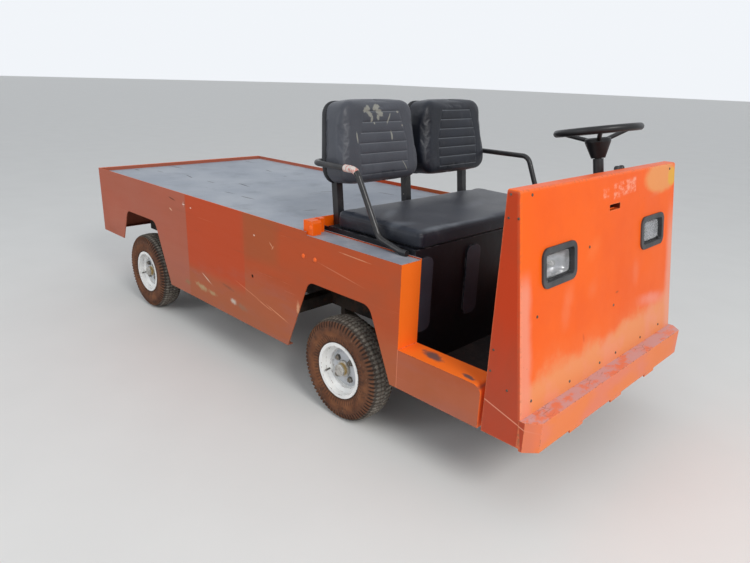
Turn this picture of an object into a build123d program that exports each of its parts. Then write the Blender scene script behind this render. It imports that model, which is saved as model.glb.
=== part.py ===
"""Electric burden carrier: a flat cargo deck behind a two-place bench seat, on four small tyres.

Millimetres. +X is forward, +Y is the driver's left, +Z is up. The origin is on the ground below the
centre of the vehicle's box.
"""
from build123d import *
import os
from math import cos, radians, sin, tan

# Overall size
length = 2966
width = 1118
rear_overhang = 512
front_overhang = 848

# Heights above the ground
bed_lip_top = 720
deck_top = 702
pod_top = 707
sill_top = 407
sill_bottom = 265
skirt_bottom = 212
rear_skirt_bottom = 350
arch_top = 525
floor_top = 285
bumper_top = 355
bumper_bottom = 258
cowl_top = 1005

# Lengths along the body
pod_length = 509
footwell_length = 357
bed_lip_overlap = 19
sill_gap = 15
cowl_rear_setback = 181
cowl_top_depth = 40
bumper_depth = 53
bumper_corner = 36
bumper_sheet = 5
bumper_corner_inset = 0.6
bumper_tab_width = 84
bumper_tab_drop = 18
bumper_tab_spacing = 285

# Widths and sheet thicknesses
skin = 4
cowl_sheet = 3
cowl_bend = 8
cowl_edge_return = 24
pod_width = 98
cowl_top_inset = 13
plate = 4
lip_band = 20
seat_gap = 0.3

# Wheel arches: half widths at the top and at the skirt's edge
arch_half_top = 167
arch_half_bottom = 302
arch_corner_radius = 48

side_hole_x = 87
side_hole_z = 451
side_hole_radius = 8

# Wheels
tyre_radius = 207
tyre_width = 116
track_half = 499
rim_flange_radius = 112
rim_bead_radius = 101.5
rim_well_radius = 84
rim_half_width = 51
rim_sheet = 3
disc_offset = 12
disc_sheet = 4
lug_circle_radius = 50
lug_count = 4
stud_radius = 6
stud_clearance = 0.5
spindle_radius = 15
hub_radius = 32
hub_flange_radius = 62
hub_flange_thickness = 9
hub_cap_radius = 24
hub_cap_wall = 3
running_clearance = 0.05
tyre_clearance = 0.3
drum_radius = 74
drum_depth = 38

# Steering
kingpin_inset = 107
kingpin_radius = 10
kingpin_overhang = 3
knuckle_radius = 22
knuckle_height = 84
yoke_gap = 0.5
yoke_thickness = 12
spindle_end_gap = 6
steer_arm_length = 130
steer_arm_width = 26
steer_arm_thickness = 10
tie_rod_radius = 9
tie_rod_pin_radius = 6
tie_rod_end_radius = 14
tie_rod_gap = 0.4
column_tilt = 10
column_radius = 19
column_bore = 12
shaft_radius = 11.95
wheel_setback = 146
wheel_rise = 115
driver_y = 240
wheel_ring_radius = 143
wheel_grip_radius = 13
wheel_spoke_count = 3
wheel_spoke_radius = 8
wheel_spoke_inset = 8
wheel_hub_top_radius = 46
wheel_hub_foot_radius = 25
wheel_hub_drop = 100
wheel_hub_shoulder_drop = 42
wheel_hub_top_drop = 26
wheel_hub_chamfer = 5
shaft_length = 90
column_gap = 2
column_bore_end = 6
column_flange_length = 90
column_flange_width = 80
column_flange_thickness = 12
column_bracket_drop = 480
column_bracket_width = 30
column_bracket_sheet = 5
column_bracket_offset = 15
column_foot_width = 80
column_foot_height = 35
column_foot_thickness = 6

# Axles, springs and frame
beam_size = 50
rail_y = 275
rail_width = 50
rail_bottom = 330
rail_height = 90
rail_start = 60
spring_width = 38
leaf_thickness = 7
leaf_count = 3
leaf_long_half = 252
leaf_step = 66
spring_rise = 50
spring_seat_rise = 36
eye_radius = 13
eye_pin_radius = 6
cheek_thickness = 5
axle_tube_radius = 32
axle_tube_inset = 99
differential_radius = 92
differential_width = 150
motor_radius = 84
motor_length = 300
battery_end_gap = 61
battery_width = 480
battery_height = 280
cross_size = 50
stanchion_size = 40
deck_rib_height = 30
deck_rib_width = 60
deck_ribs_per_bay = (2, 3)

# Dash and pedals
dash_drop = 120
dash_reach = 52
dash_sheet = 2.5
dash_side_inset = 110
dash_top_slope = 8
dash_face_height = 20
dash_mouth = 30
pedal_inset = 40
pedal_base_length = 40
pedal_base_width = 36
pedal_base_height = 22
pedal_pivot_height = 15
pedal_reach = 50
pedal_rise = 125
pedal_arm_radius = 7
pedal_pad_thickness = 6
pedal_tilt = 30
brake_y = 130
brake_pad_width = 70
brake_pad_length = 60
throttle_y = 330
throttle_pad_width = 64
throttle_pad_length = 130

# Seat
seat_back_lean = 6
cushion_rear_gap = 1
cushion_length = 455
cushion_side_gap = 6
cushion_height = 64
cushion_radius = 18
cushion_corner_radius = 45
seat_board_top = 732
kick_setback = 28
kick_rib_width = 80
kick_rib_height = 270
kick_rib_top = 700
kick_rib_depth = 8
kick_rib_count = 4
kick_rib_inset = 47
post_inset = 82
post_size = 30
post_length = 335
post_spacer_length = 15
backrest_side_gap = 17
backrest_gap = 32
backrest_rise = 120
backrest_height = 306
backrest_depth = 114
backrest_back = 9
backrest_taper = 39
backrest_waist_height = 92
backrest_corner_radius = 58
backrest_edge_radius = 24
bulkhead_top = 762
bulkhead_block_depth = 49
bulkhead_block_width = 42
bulkhead_tab_gap = 18
bulkhead_tab_width = 20
bulkhead_tab_depth = 22
bulkhead_inset = 7

# Hip rail
rail_tube_radius = 11
hip_rail_inset = 85
hip_rail_z = 965
hip_rail_bend_rise = 25
hip_rail_foot_flat = 30
hip_rail_corner_radius = 44
hip_rail_arms = [
    # side, knee, bend and foot end, each ahead of the cargo bed
    (-1, 196, 321, 454),
    (1, 304, 397, 484),
]

# Headlights
lamp_inset = 219
lamp_z = 772
bezel_width = 200
bezel_height = 120
bezel_radius = 30
bezel_flange = 6
bezel_border = 14
bezel_depth = 48
bezel_wall = 4
lens_step = 10
lens_ledge = 8
lens_thickness = 4
hole_clearance = 0.5
slot_width = 77
slot_height = 19
slot_y = 25
slot_z = 897
slot_depth = 24
slot_wall = 2

# Places worked out from the sizes above
x_rear = -length / 2
x_front = length / 2
x_rear_axle = x_rear + rear_overhang
x_front_axle = x_front - front_overhang
x_cowl_rear = x_front - cowl_rear_setback
x_pod_front = x_cowl_rear - footwell_length
x_bed_front = x_pod_front - pod_length
x_sill_front = x_cowl_rear - sill_gap
x_cowl_top_front = x_cowl_rear + cowl_top_depth
x_cowl_foot = x_front - bumper_depth
x_kick = x_pod_front - kick_setback
half = width / 2
pod_inner = half - pod_width
lean = radians(seat_back_lean)
seat_board_bottom = seat_board_top - plate
x_post_front = x_bed_front + post_size / cos(lean) + (bulkhead_top - seat_board_bottom) * tan(lean)
cowl_top_half_width = half - cowl_top_inset
cowl_slope = (x_cowl_foot - x_cowl_top_front) / (cowl_top - bumper_top)
lamp_y = half - lamp_inset
hip_rail_y = half - hip_rail_inset
post_spacing = hip_rail_y - post_inset
backrest_width = hip_rail_y - rail_tube_radius - backrest_side_gap - backrest_gap / 2
kingpin_y = track_half - kingpin_inset
axle_tube_end = track_half - axle_tube_inset
axle_z = tyre_radius
wheel_centre_x = x_cowl_rear - wheel_setback
wheel_centre_z = cowl_top + wheel_rise
leaf_half_spans = [leaf_long_half - leaf_step * index for index in reversed(range(leaf_count))]


def block(x0, x1, y0, y1, z0, z1):
    """A box between opposite corners."""
    return Pos((x0 + x1) / 2, (y0 + y1) / 2, (z0 + z1) / 2) * Box(x1 - x0, y1 - y0, z1 - z0)


def prism_y(points, y0, y1, radii=None):
    """A side outline (x, z), with chosen corners rounded, pulled from y0 to y1."""
    face = make_face(Polyline(*points, close=True))
    for index, radius in (radii or {}).items():
        corner = face.vertices().sort_by_distance(Vector(*points[index], 0))[0]
        face = fillet(corner, radius)
    return extrude(Plane.XZ.offset(-y1) * face, amount=y1 - y0)


def rod(start, end, radius):
    """A round bar between two points."""
    start, end = Vector(*start), Vector(*end)
    plane = Plane(origin=start, z_dir=end - start)
    return extrude(plane * Circle(radius), amount=(end - start).length)


def turned_y(profile, x, y, z, side):
    """A profile of (radius, outboard offset) turned about a line along Y through (x, y, z)."""
    face = make_face(Polyline(*profile, close=True))
    ring = revolve(Plane.XY * face, axis=Axis.Y)
    if side < 0:
        ring = mirror(ring, about=Plane.XZ)
    return Pos(x, y, z) * ring


def both_sides(left):
    """A left-hand piece and its mirror image, keyed by side."""
    return {"left": left, "right": mirror(left, about=Plane.XZ)}


def cowl_x(z):
    """The cowl's front face at a height."""
    return x_cowl_foot + (bumper_top - z) * cowl_slope


def cowl_y(z):
    """The cowl's outer side face at a height."""
    return half - (z - sill_bottom) * (half - cowl_top_half_width) / (cowl_top - sill_bottom)


def side_body():
    """The left side sheet with its arches, the pod beside the seat and the sill below the door."""
    outline = [
        (x_rear, rear_skirt_bottom),
        (x_rear, bed_lip_top),
        (x_bed_front + bed_lip_overlap, bed_lip_top),
        (x_bed_front + bed_lip_overlap, pod_top),
        (x_pod_front, pod_top),
        (x_pod_front, sill_top),
        (x_sill_front, sill_top),
        (x_sill_front, sill_bottom),
        (x_front_axle, sill_bottom),
        (x_front_axle, skirt_bottom),
        (x_rear_axle, skirt_bottom),
        (x_rear_axle, rear_skirt_bottom),
    ]
    sheet = prism_y(outline, half - skin, half, {6: sill_gap * 2})
    for x in (x_rear_axle, x_front_axle):
        sheet -= arch(x, half - 2 * skin, half + skin)
    sheet -= rod(
        (side_hole_x, half - 2 * skin, side_hole_z), (side_hole_x, half + skin, side_hole_z),
        side_hole_radius,
    )
    pod_lip = 5
    strip = block(x_bed_front, x_pod_front, pod_inner, half, pod_top - skin, pod_top)
    wall = block(x_bed_front, x_pod_front, pod_inner, pod_inner + skin, arch_top, pod_top + pod_lip)
    front = block(x_pod_front - skin, x_pod_front, pod_inner, half, sill_top - skin, pod_top)
    sill_outline = [
        (x_pod_front - skin, sill_bottom),
        (x_pod_front - skin, sill_top),
        (x_sill_front, sill_top),
        (x_sill_front, sill_bottom),
    ]
    sill_inside = [
        (x_pod_front, sill_bottom - skin),
        (x_pod_front, sill_top - skin),
        (x_sill_front - skin, sill_top - skin),
        (x_sill_front - skin, sill_bottom - skin),
    ]
    sill = prism_y(sill_outline, pod_inner, half, {2: sill_gap * 2})
    sill -= prism_y(sill_inside, pod_inner + skin, half - skin, {2: sill_gap * 2 - skin})
    flange_width = 26
    flange = block(
        x_rear_axle + arch_half_bottom,
        x_front_axle - arch_half_bottom,
        half - flange_width,
        half,
        skirt_bottom,
        skirt_bottom + skin,
    )
    return sheet + strip + wall + front + sill + flange


def arch(x, y0, y1):
    """The wheel arch's opening about a wheel centre."""
    drop = 40
    slope = (arch_half_bottom - arch_half_top) / (arch_top - skirt_bottom)
    foot = arch_half_bottom + drop * slope
    points = [
        (x - foot, skirt_bottom - drop),
        (x - arch_half_top, arch_top),
        (x + arch_half_top, arch_top),
        (x + foot, skirt_bottom - drop),
    ]
    return prism_y(points, y0, y1, {1: arch_corner_radius, 2: arch_corner_radius})


def rear_panel():
    """The rear sheet with the folded band that edges the deck."""
    inner = half - skin
    sheet = block(x_rear, x_rear + plate, -inner, inner, rear_skirt_bottom, bed_lip_top)
    band = block(x_rear, x_rear + lip_band, -inner, inner, bed_lip_top - plate, bed_lip_top)
    drop = block(
        x_rear + lip_band - plate, x_rear + lip_band, -inner, inner, deck_top - plate, bed_lip_top
    )
    foot = block(
        x_rear, x_rear + lip_band, -inner, inner, rear_skirt_bottom, rear_skirt_bottom + plate
    )
    return sheet + band + drop + foot


def cross_places():
    """The stations of the frame's cross members, clear of both pairs of wheels."""
    margin = 20
    return (
        x_rear + rail_start,
        x_rear_axle + arch_half_bottom + margin,
        x_front_axle - arch_half_bottom - margin - cross_size,
        x_bed_front - cross_size,
    )


def cargo_deck():
    """The deck plate, from the rear band to the seat bulkhead, on hat ribs between the beams."""
    inner = half - skin
    deck = block(
        x_rear + lip_band, x_bed_front - plate, -inner, inner, deck_top - plate, deck_top
    )
    rib_top = deck_top - plate
    places = cross_places()
    for bay, count in enumerate(deck_ribs_per_bay):
        start = places[bay] + cross_size
        pitch = (places[bay + 1] - start) / (count + 1)
        for index in range(count):
            x = start + (index + 1) * pitch
            deck += hat_rib(x, inner, rib_top)
    return deck


def hat_rib(x, reach, top):
    """A folded rib across the vehicle, open at the top where the deck plate closes it."""
    x0, x1 = x - deck_rib_width / 2, x + deck_rib_width / 2
    z0 = top - deck_rib_height
    return block(x0, x1, -reach, reach, z0, top) - block(
        x0 + plate, x1 - plate, -reach, reach, z0 + plate, top
    )


def chassis_frame():
    """Two box rails, cross members, stanchions to the deck and the spring hangers."""
    rail_top = rail_bottom + rail_height
    beam_top = deck_top - plate
    reach = half - skin
    places = cross_places()
    frame = block(
        x_kick - plate - cross_size, x_kick - plate, -rail_y, rail_y,
        rail_bottom, rail_bottom + cross_size,
    )
    for x in places:
        frame += block(x, x + cross_size, -rail_y, rail_y, rail_bottom, rail_bottom + cross_size)
        frame += block(x, x + cross_size, -reach, reach, beam_top - cross_size, beam_top)
    for side in (-1, 1):
        y = side * rail_y
        frame += block(
            x_rear + rail_start, x_kick - plate, y - rail_width / 2, y + rail_width / 2,
            rail_bottom, rail_top,
        )
        for x in places:
            frame += block(
                x, x + cross_size, y - stanchion_size / 2, y + stanchion_size / 2,
                rail_top, beam_top,
            )
        for x in places[1:3]:
            frame += block(
                x, x + cross_size, min(y, side * reach), max(y, side * reach),
                rail_bottom, rail_bottom + cross_size,
            )
        for x in (x_rear_axle, x_front_axle):
            frame += hangers(x, y)
    tray_half = rail_y - rail_width / 2
    frame += block(*battery_bay(), -tray_half, tray_half, rail_bottom, rail_bottom + plate)
    return frame


def battery_bay():
    """The ends of the battery tray, between the two middle cross members."""
    return cross_places()[1] + cross_size, cross_places()[2]


def spring_base():
    """The height of the axle pads, where the springs sit."""
    return axle_z + spring_seat_rise


def eye_height():
    """The height of the spring eyes' centres."""
    return spring_base() + (leaf_count - 0.5) * leaf_thickness + spring_rise


def hangers(x, y):
    """The cheek plates and pins that carry both eyes of one spring."""
    z = eye_height()
    reach = spring_width / 2 + seat_gap
    parts = None
    for end in (-1, 1):
        xe = x + end * leaf_long_half
        pin = rod((xe, y - reach - cheek_thickness, z), (xe, y + reach + cheek_thickness, z),
                  eye_pin_radius)
        parts = pin if parts is None else parts + pin
        for side in (-1, 1):
            y0 = y + side * reach
            y1 = y0 + side * cheek_thickness
            parts += block(
                xe - eye_radius, xe + eye_radius, min(y0, y1), max(y0, y1),
                z - eye_radius, rail_bottom + plate,
            )
    return parts


def leaf_spring(x, y):
    """A stack of curved leaves with an eye at each end of the longest."""
    mid_radius = (leaf_long_half ** 2 + spring_rise ** 2) / (2 * spring_rise)
    stack = None
    for index, half_span in enumerate(leaf_half_spans):
        z0 = spring_base() + index * leaf_thickness
        centre_z = z0 + mid_radius
        inner = mid_radius - leaf_thickness
        end_angle = half_span / mid_radius
        points = []
        for radius in (mid_radius, inner):
            points.append([
                (x + radius * sin(angle), centre_z - radius * cos(angle))
                for angle in (-end_angle, 0, end_angle)
            ])
        lower = ThreePointArc(*points[0])
        upper = ThreePointArc(*points[1])
        outline = [lower, Line(lower @ 1, upper @ 1), upper, Line(upper @ 0, lower @ 0)]
        face = make_face(outline)
        top_y = y + spring_width / 2
        leaf = extrude(Plane.XZ.offset(-top_y) * face, amount=spring_width)
        stack = leaf if stack is None else stack + leaf
    for end in (-1, 1):
        xe = x + end * leaf_long_half
        z = eye_height()
        eye = rod((xe, y - spring_width / 2, z), (xe, y + spring_width / 2, z), eye_radius)
        stack += eye
    for end in (-1, 1):
        xe = x + end * leaf_long_half
        z = eye_height()
        stack -= rod(
            (xe, y - spring_width, z), (xe, y + spring_width, z), eye_pin_radius + running_clearance
        )
    return stack


def front_axle():
    """The square beam and the yokes that hold the kingpins."""
    web = kingpin_y - knuckle_radius - 2 * yoke_thickness
    beam = block(
        x_front_axle - beam_size / 2, x_front_axle + beam_size / 2, -web, web,
        axle_z - beam_size / 2, axle_z + beam_size / 2,
    )
    ear_inner = knuckle_height / 2 + yoke_gap
    ear_outer = ear_inner + yoke_thickness
    for side in (-1, 1):
        beam += spring_pad(x_front_axle, side * rail_y)
        y0, y1 = side * web, side * (web + yoke_thickness)
        beam += block(
            x_front_axle - beam_size / 2, x_front_axle + beam_size / 2, min(y0, y1), max(y0, y1),
            axle_z - ear_outer, axle_z + ear_outer,
        )
        y2 = side * kingpin_y
        for z0, z1 in ((-ear_outer, -ear_inner), (ear_inner, ear_outer)):
            ear = block(
                x_front_axle - beam_size / 2, x_front_axle + beam_size / 2, min(y0, y2),
                max(y0, y2), axle_z + z0, axle_z + z1,
            )
            ear += rod((x_front_axle, y2, axle_z + z0), (x_front_axle, y2, axle_z + z1),
                       beam_size / 2)
            beam += ear
        beam -= rod(
            (x_front_axle, y2, axle_z - 2 * ear_outer), (x_front_axle, y2, axle_z + 2 * ear_outer),
            kingpin_radius + running_clearance,
        )
    return beam


def spring_pad(x, y):
    """The block on an axle that a spring sits on."""
    return block(
        x - beam_size / 2, x + beam_size / 2, y - rail_width / 2, y + rail_width / 2,
        axle_z, spring_base(),
    )


def knuckle():
    """The left knuckle: kingpin, spindle and steering arm."""
    pin_half = knuckle_height / 2 + yoke_gap + yoke_thickness + kingpin_overhang
    x, y = x_front_axle, kingpin_y
    body = rod((x, y, axle_z - knuckle_height / 2), (x, y, axle_z + knuckle_height / 2),
               knuckle_radius)
    body += rod((x, y, axle_z - pin_half), (x, y, axle_z + pin_half), kingpin_radius)
    body += rod((x, y, axle_z), (x, hub_inner_y() - 1, axle_z), spindle_radius + plate)
    body += rod((x, y, axle_z), (x, hub_outer_y() - spindle_end_gap, axle_z), spindle_radius)
    z0 = axle_z - knuckle_height / 2
    body += block(
        x - steer_arm_length, x, y - steer_arm_width / 2, y + steer_arm_width / 2,
        z0, z0 + steer_arm_thickness,
    )
    eye_x = x - steer_arm_length
    body += rod((eye_x, y, z0), (eye_x, y, z0 + steer_arm_thickness), steer_arm_width / 2)
    body -= rod(
        (eye_x, y, z0 - 1), (eye_x, y, z0 + 2 * steer_arm_thickness),
        tie_rod_pin_radius + running_clearance,
    )
    return body


def tie_rod():
    """The bar behind the axle, with a ball stud up into each steering arm."""
    x = x_front_axle - steer_arm_length
    arm_bottom = axle_z - knuckle_height / 2
    z = arm_bottom - tie_rod_gap - tie_rod_end_radius
    bar = rod((x, -kingpin_y, z), (x, kingpin_y, z), tie_rod_radius)
    for side in (-1, 1):
        y = side * kingpin_y
        bar += rod((x, y, z - tie_rod_end_radius), (x, y, z + tie_rod_end_radius),
                   tie_rod_end_radius)
        bar += rod((x, y, z), (x, y, arm_bottom + steer_arm_thickness + 2), tie_rod_pin_radius)
    return bar


def hub_inner_y():
    """Where a hub's inner end lies, off the vehicle's centre."""
    return track_half - rim_half_width - plate


def hub_outer_y():
    """Where a hub's closed end lies."""
    return track_half + rim_half_width - plate


def rim(x, side):
    """A pressed rim: flanges, bead seats and a well, with a dished disc bolted to the hub."""
    outer = [
        (rim_flange_radius, -rim_half_width),
        (rim_flange_radius, -rim_half_width + rim_sheet),
        (rim_bead_radius, -rim_half_width + rim_sheet),
        (rim_bead_radius, -rim_half_width / 2),
        (rim_well_radius, -rim_half_width / 3),
        (rim_well_radius, rim_half_width / 3),
        (rim_bead_radius, rim_half_width / 2),
        (rim_bead_radius, rim_half_width - rim_sheet),
        (rim_flange_radius, rim_half_width - rim_sheet),
        (rim_flange_radius, rim_half_width),
    ]
    inner = [
        (rim_bead_radius - rim_sheet, rim_half_width),
        (rim_bead_radius - rim_sheet, rim_half_width / 2 + 1),
        (rim_well_radius - rim_sheet, rim_half_width / 3 + 1),
        (rim_well_radius - rim_sheet, -rim_half_width / 3 - 1),
        (rim_bead_radius - rim_sheet, -rim_half_width / 2 - 1),
        (rim_bead_radius - rim_sheet, -rim_half_width),
    ]
    barrel = turned_y(outer + inner, 0, 0, 0, 1)
    face = disc_offset
    bulge_radius = (hub_flange_radius + rim_well_radius) / 2
    disc = turned_y(
        [
            (hub_radius + stud_clearance, face),
            (hub_flange_radius, face),
            (bulge_radius, face - disc_sheet * 2),
            (rim_well_radius - rim_sheet, face - disc_sheet * 3),
            (rim_well_radius - rim_sheet, face - disc_sheet * 2),
            (bulge_radius, face - disc_sheet),
            (hub_flange_radius, face + disc_sheet),
            (hub_radius + stud_clearance, face + disc_sheet),
        ],
        0, 0, 0, 1,
    )
    wheel = barrel + disc
    for index in range(lug_count):
        angle = 2 * 180 * index / lug_count + 45
        px = lug_circle_radius * cos(radians(angle))
        pz = lug_circle_radius * sin(radians(angle))
        wheel -= rod((px, face - disc_sheet, pz), (px, face + 2 * disc_sheet, pz),
                     stud_radius + stud_clearance)
    if side < 0:
        wheel = mirror(wheel, about=Plane.XZ)
    return Pos(x, side * track_half, axle_z) * wheel


def tyre(x, side):
    """A small cross-ply tyre on its bead seats."""
    half_bead = rim_half_width - rim_sheet - tyre_clearance
    seat = rim_bead_radius + tyre_clearance
    lip = rim_flange_radius + tyre_clearance
    bulge = tyre_width / 2
    # Columns: radius, half width
    rows = [
        (seat, half_bead),
        (lip, half_bead),
        (lip + 8, bulge - 6),
        (lip + 40, bulge),
        (tyre_radius - 26, bulge - 3),
        (tyre_radius - 9, bulge - 11),
        (tyre_radius - 2, bulge - 20),
        (tyre_radius, bulge - 34),
    ]
    profile = [(r, t) for r, t in rows] + [(r, -t) for r, t in reversed(rows)]
    return turned_y(profile, x, side * track_half, axle_z, side)


def hub(x, side, drum):
    """A hub on its spindle: bolting flange with studs, grease cap and, at the rear, a drum."""
    inner_end = hub_inner_y() - track_half
    outer_end = hub_outer_y() - track_half
    face = disc_offset
    bore = spindle_radius + running_clearance
    cap_start = face + disc_sheet * 3
    profile = [
        (bore, inner_end),
        (hub_radius, inner_end),
        (hub_radius, face - hub_flange_thickness),
        (hub_flange_radius, face - hub_flange_thickness),
        (hub_flange_radius, face),
        (hub_radius, face),
        (hub_radius, cap_start),
        (hub_cap_radius, cap_start + 2),
        (hub_cap_radius, outer_end - 2),
        (hub_cap_radius - 2, outer_end),
        (0, outer_end),
        (0, outer_end - hub_cap_wall),
        (bore, outer_end - hub_cap_wall),
    ]
    body = turned_y(profile, 0, 0, 0, 1)
    if drum:
        open_end = inner_end + 6
        shell = [
            (drum_radius, open_end),
            (drum_radius, open_end + drum_depth),
            (hub_radius - 1, open_end + drum_depth),
            (hub_radius - 1, open_end + drum_depth - plate),
            (drum_radius - plate, open_end + drum_depth - plate),
            (drum_radius - plate, open_end),
        ]
        body += turned_y(shell, 0, 0, 0, 1)
    for index in range(lug_count):
        angle = 2 * 180 * index / lug_count + 45
        px = lug_circle_radius * cos(radians(angle))
        pz = lug_circle_radius * sin(radians(angle))
        body += rod((px, face - disc_sheet, pz), (px, face + 4 * disc_sheet, pz), stud_radius)
    if side < 0:
        body = mirror(body, about=Plane.XZ)
    return Pos(x, side * track_half, axle_z) * body


def rear_axle():
    """The axle tube with its differential housing, spring pads and fixed spindles."""
    x = x_rear_axle
    axle = rod((x, -axle_tube_end, axle_z), (x, axle_tube_end, axle_z), axle_tube_radius)
    end = hub_outer_y() - spindle_end_gap
    axle += rod((x, -end, axle_z), (x, end, axle_z), spindle_radius)
    shoulder = hub_inner_y() - 1
    axle += rod((x, -shoulder, axle_z), (x, shoulder, axle_z), spindle_radius + plate)
    backing = drum_radius - plate - 2
    for side in (-1, 1):
        y0, y1 = side * axle_tube_end, side * (axle_tube_end + plate)
        axle += rod((x, y0, axle_z), (x, y1, axle_z), backing)
        axle += spring_pad(x, side * rail_y)
    housing = rod(
        (x, -differential_width / 2, axle_z), (x, differential_width / 2, axle_z),
        differential_radius,
    )
    housing = fillet(housing.edges().filter_by(GeomType.CIRCLE), differential_width / 5)
    return axle + housing


def drive_motor():
    """The traction motor, bolted to the front of the differential."""
    x0 = x_rear_axle + differential_radius
    body = rod((x0, 0, axle_z), (x0 + motor_length, 0, axle_z), motor_radius)
    bells = chamfer(body.edges().filter_by(GeomType.CIRCLE), motor_radius / 8)
    return bells


def battery_pack():
    """The traction battery, one block on its tray."""
    x0, x1 = battery_bay()
    z0 = rail_bottom + plate
    return block(
        x0 + battery_end_gap, x1 - battery_end_gap, -battery_width / 2, battery_width / 2,
        z0, z0 + battery_height,
    )


def seat_bulkhead():
    """The upstand across the front of the deck, with a folded block at each end."""
    reach = half - bulkhead_inset
    x0 = x_bed_front - plate
    wall = block(x0, x_bed_front, -reach, reach, deck_top - plate, bulkhead_top)
    x_block = x_bed_front + bulkhead_block_depth
    for side in (-1, 1):
        y0, y1 = side * reach, side * (reach - bulkhead_block_width)
        end = block(x_bed_front, x_block, min(y0, y1), max(y0, y1), pod_top, bulkhead_top)
        top_edge = end.edges().filter_by(Axis.Y).group_by(Axis.Z)[-1].sort_by(Axis.X)[-1]
        wall += fillet(top_edge, bulkhead_block_depth / 4)
        y2 = y1 - side * bulkhead_tab_gap
        y3 = y2 - side * bulkhead_tab_width
        wall += block(
            x_bed_front, x_bed_front + bulkhead_tab_depth, min(y2, y3), max(y2, y3),
            pod_top, bulkhead_top,
        )
    return wall


def seat_box():
    """The seat's base: a ribbed kick panel, side walls and the board below the cushion."""
    reach = pod_inner - seat_gap
    x_board = x_post_front + seat_gap
    box = block(x_board, x_kick, -reach, reach, seat_board_bottom, seat_board_top - seat_gap)
    box += block(x_kick - plate, x_kick, -reach, reach, floor_top, seat_board_bottom)
    for side in (-1, 1):
        y0, y1 = side * reach, side * (reach - plate)
        box += block(x_bed_front, x_kick, min(y0, y1), max(y0, y1), arch_top, seat_board_bottom)
    last_rib = pod_inner - kick_rib_inset
    for index in range(kick_rib_count):
        y = -last_rib + index * 2 * last_rib / (kick_rib_count - 1)
        z = kick_rib_top - kick_rib_height / 2
        rib = Plane(origin=(x_kick, y, z), x_dir=(0, 1, 0), z_dir=(1, 0, 0))
        face = RectangleRounded(kick_rib_width, kick_rib_height, kick_rib_width / 3)
        box += extrude(rib * face, amount=kick_rib_depth)
    return box


def rounded_pad(x0, x1, y0, y1, z0, z1, upright, corner, edge):
    """A soft pad: corners rounded along one axis, then its edges."""
    pad = block(x0, x1, y0, y1, z0, z1)
    pad = fillet(pad.edges().filter_by(upright), corner)
    return fillet(pad.faces().sort_by(upright)[-1].edges(), edge)


def seat_cushion():
    """The bench cushion."""
    x0 = x_post_front + cushion_rear_gap
    reach = pod_inner - cushion_side_gap
    return rounded_pad(
        x0, x0 + cushion_length, -reach, reach,
        seat_board_top, seat_board_top + cushion_height,
        Axis.Z, cushion_corner_radius, cushion_radius,
    )


def seat_back_plane():
    """The frame that the posts and backrests stand in: it leans back from the bulkhead's top."""
    return Plane(
        origin=(x_bed_front, 0, bulkhead_top),
        x_dir=(cos(lean), 0, sin(lean)), z_dir=(-sin(lean), 0, cos(lean)),
    )


def rail_seat():
    """The hip rail's centre behind the posts, as (forward, up) in the leaning frame."""
    forward = -post_spacer_length - rail_tube_radius - seat_gap
    return forward, (hip_rail_z - bulkhead_top - forward * sin(lean)) / cos(lean)


def backrest():
    """The left backrest, narrower at its top, notched at the back for its outer post."""
    middle = (backrest_gap + backrest_width) / 2
    wide, narrow = backrest_width / 2, backrest_width / 2 - backrest_taper
    top = backrest_rise + backrest_height
    waist = backrest_rise + backrest_waist_height
    outline = [
        (middle - wide, backrest_rise), (middle + wide, backrest_rise), (middle + wide, waist),
        (middle + narrow, top), (middle - narrow, top), (middle - wide, waist),
    ]
    face = Plane.YZ.offset(-backrest_back) * make_face(Polyline(*outline, close=True))
    face = fillet(face.vertices(), backrest_corner_radius)
    pad = extrude(face, amount=backrest_depth)
    pad = fillet(pad.faces().sort_by(Axis.X)[-1].edges(), backrest_edge_radius)
    reach = post_size / 2 + seat_gap
    pad -= block(
        -2 * backrest_back, post_size + seat_gap, post_spacing - reach, post_spacing + reach,
        0, post_length + seat_gap,
    )
    return seat_back_plane() * pad


def seat_posts():
    """Three square posts behind the seat: one between the backrests and one behind each."""
    posts = []
    spacer_mid = rail_seat()[1]
    below = block(
        x_bed_front - post_size, x_bed_front + 3 * post_size, -half, half, sill_bottom, deck_top
    )
    for y in (-post_spacing, 0, post_spacing):
        y0, y1 = y - post_size / 2, y + post_size / 2
        post = block(0, post_size, y0, y1, deck_top - bulkhead_top - post_size, post_length)
        spacer = block(
            -post_spacer_length, 0, y0, y1,
            spacer_mid - post_size / 2, spacer_mid + post_size / 2,
        )
        posts.append(seat_back_plane() * (post + spacer) - below)
    return Compound(children=posts)


def hip_rail():
    """The round guard rail: a foot on each pod, a knee, and a run behind the backrests."""
    forward, up = rail_seat()
    x_back = x_bed_front + forward * cos(lean) - up * sin(lean)
    z_foot = pod_top + rail_tube_radius + seat_gap
    arms = []
    for side, knee, bend, foot_end in hip_rail_arms:
        y = side * hip_rail_y
        arms.append([
            (x_bed_front + foot_end, y, z_foot),
            (x_bed_front + foot_end - hip_rail_foot_flat, y, z_foot),
            (x_bed_front + bend, y, z_foot + hip_rail_bend_rise),
            (x_bed_front + knee, y, hip_rail_z),
            (x_back, y, hip_rail_z),
        ])
    right, left = arms
    path = FilletPolyline(*(right + left[::-1]), radius=hip_rail_corner_radius)
    section = Plane(origin=path @ 0, z_dir=path % 0) * Circle(rail_tube_radius)
    return sweep(section, path=path)


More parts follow.
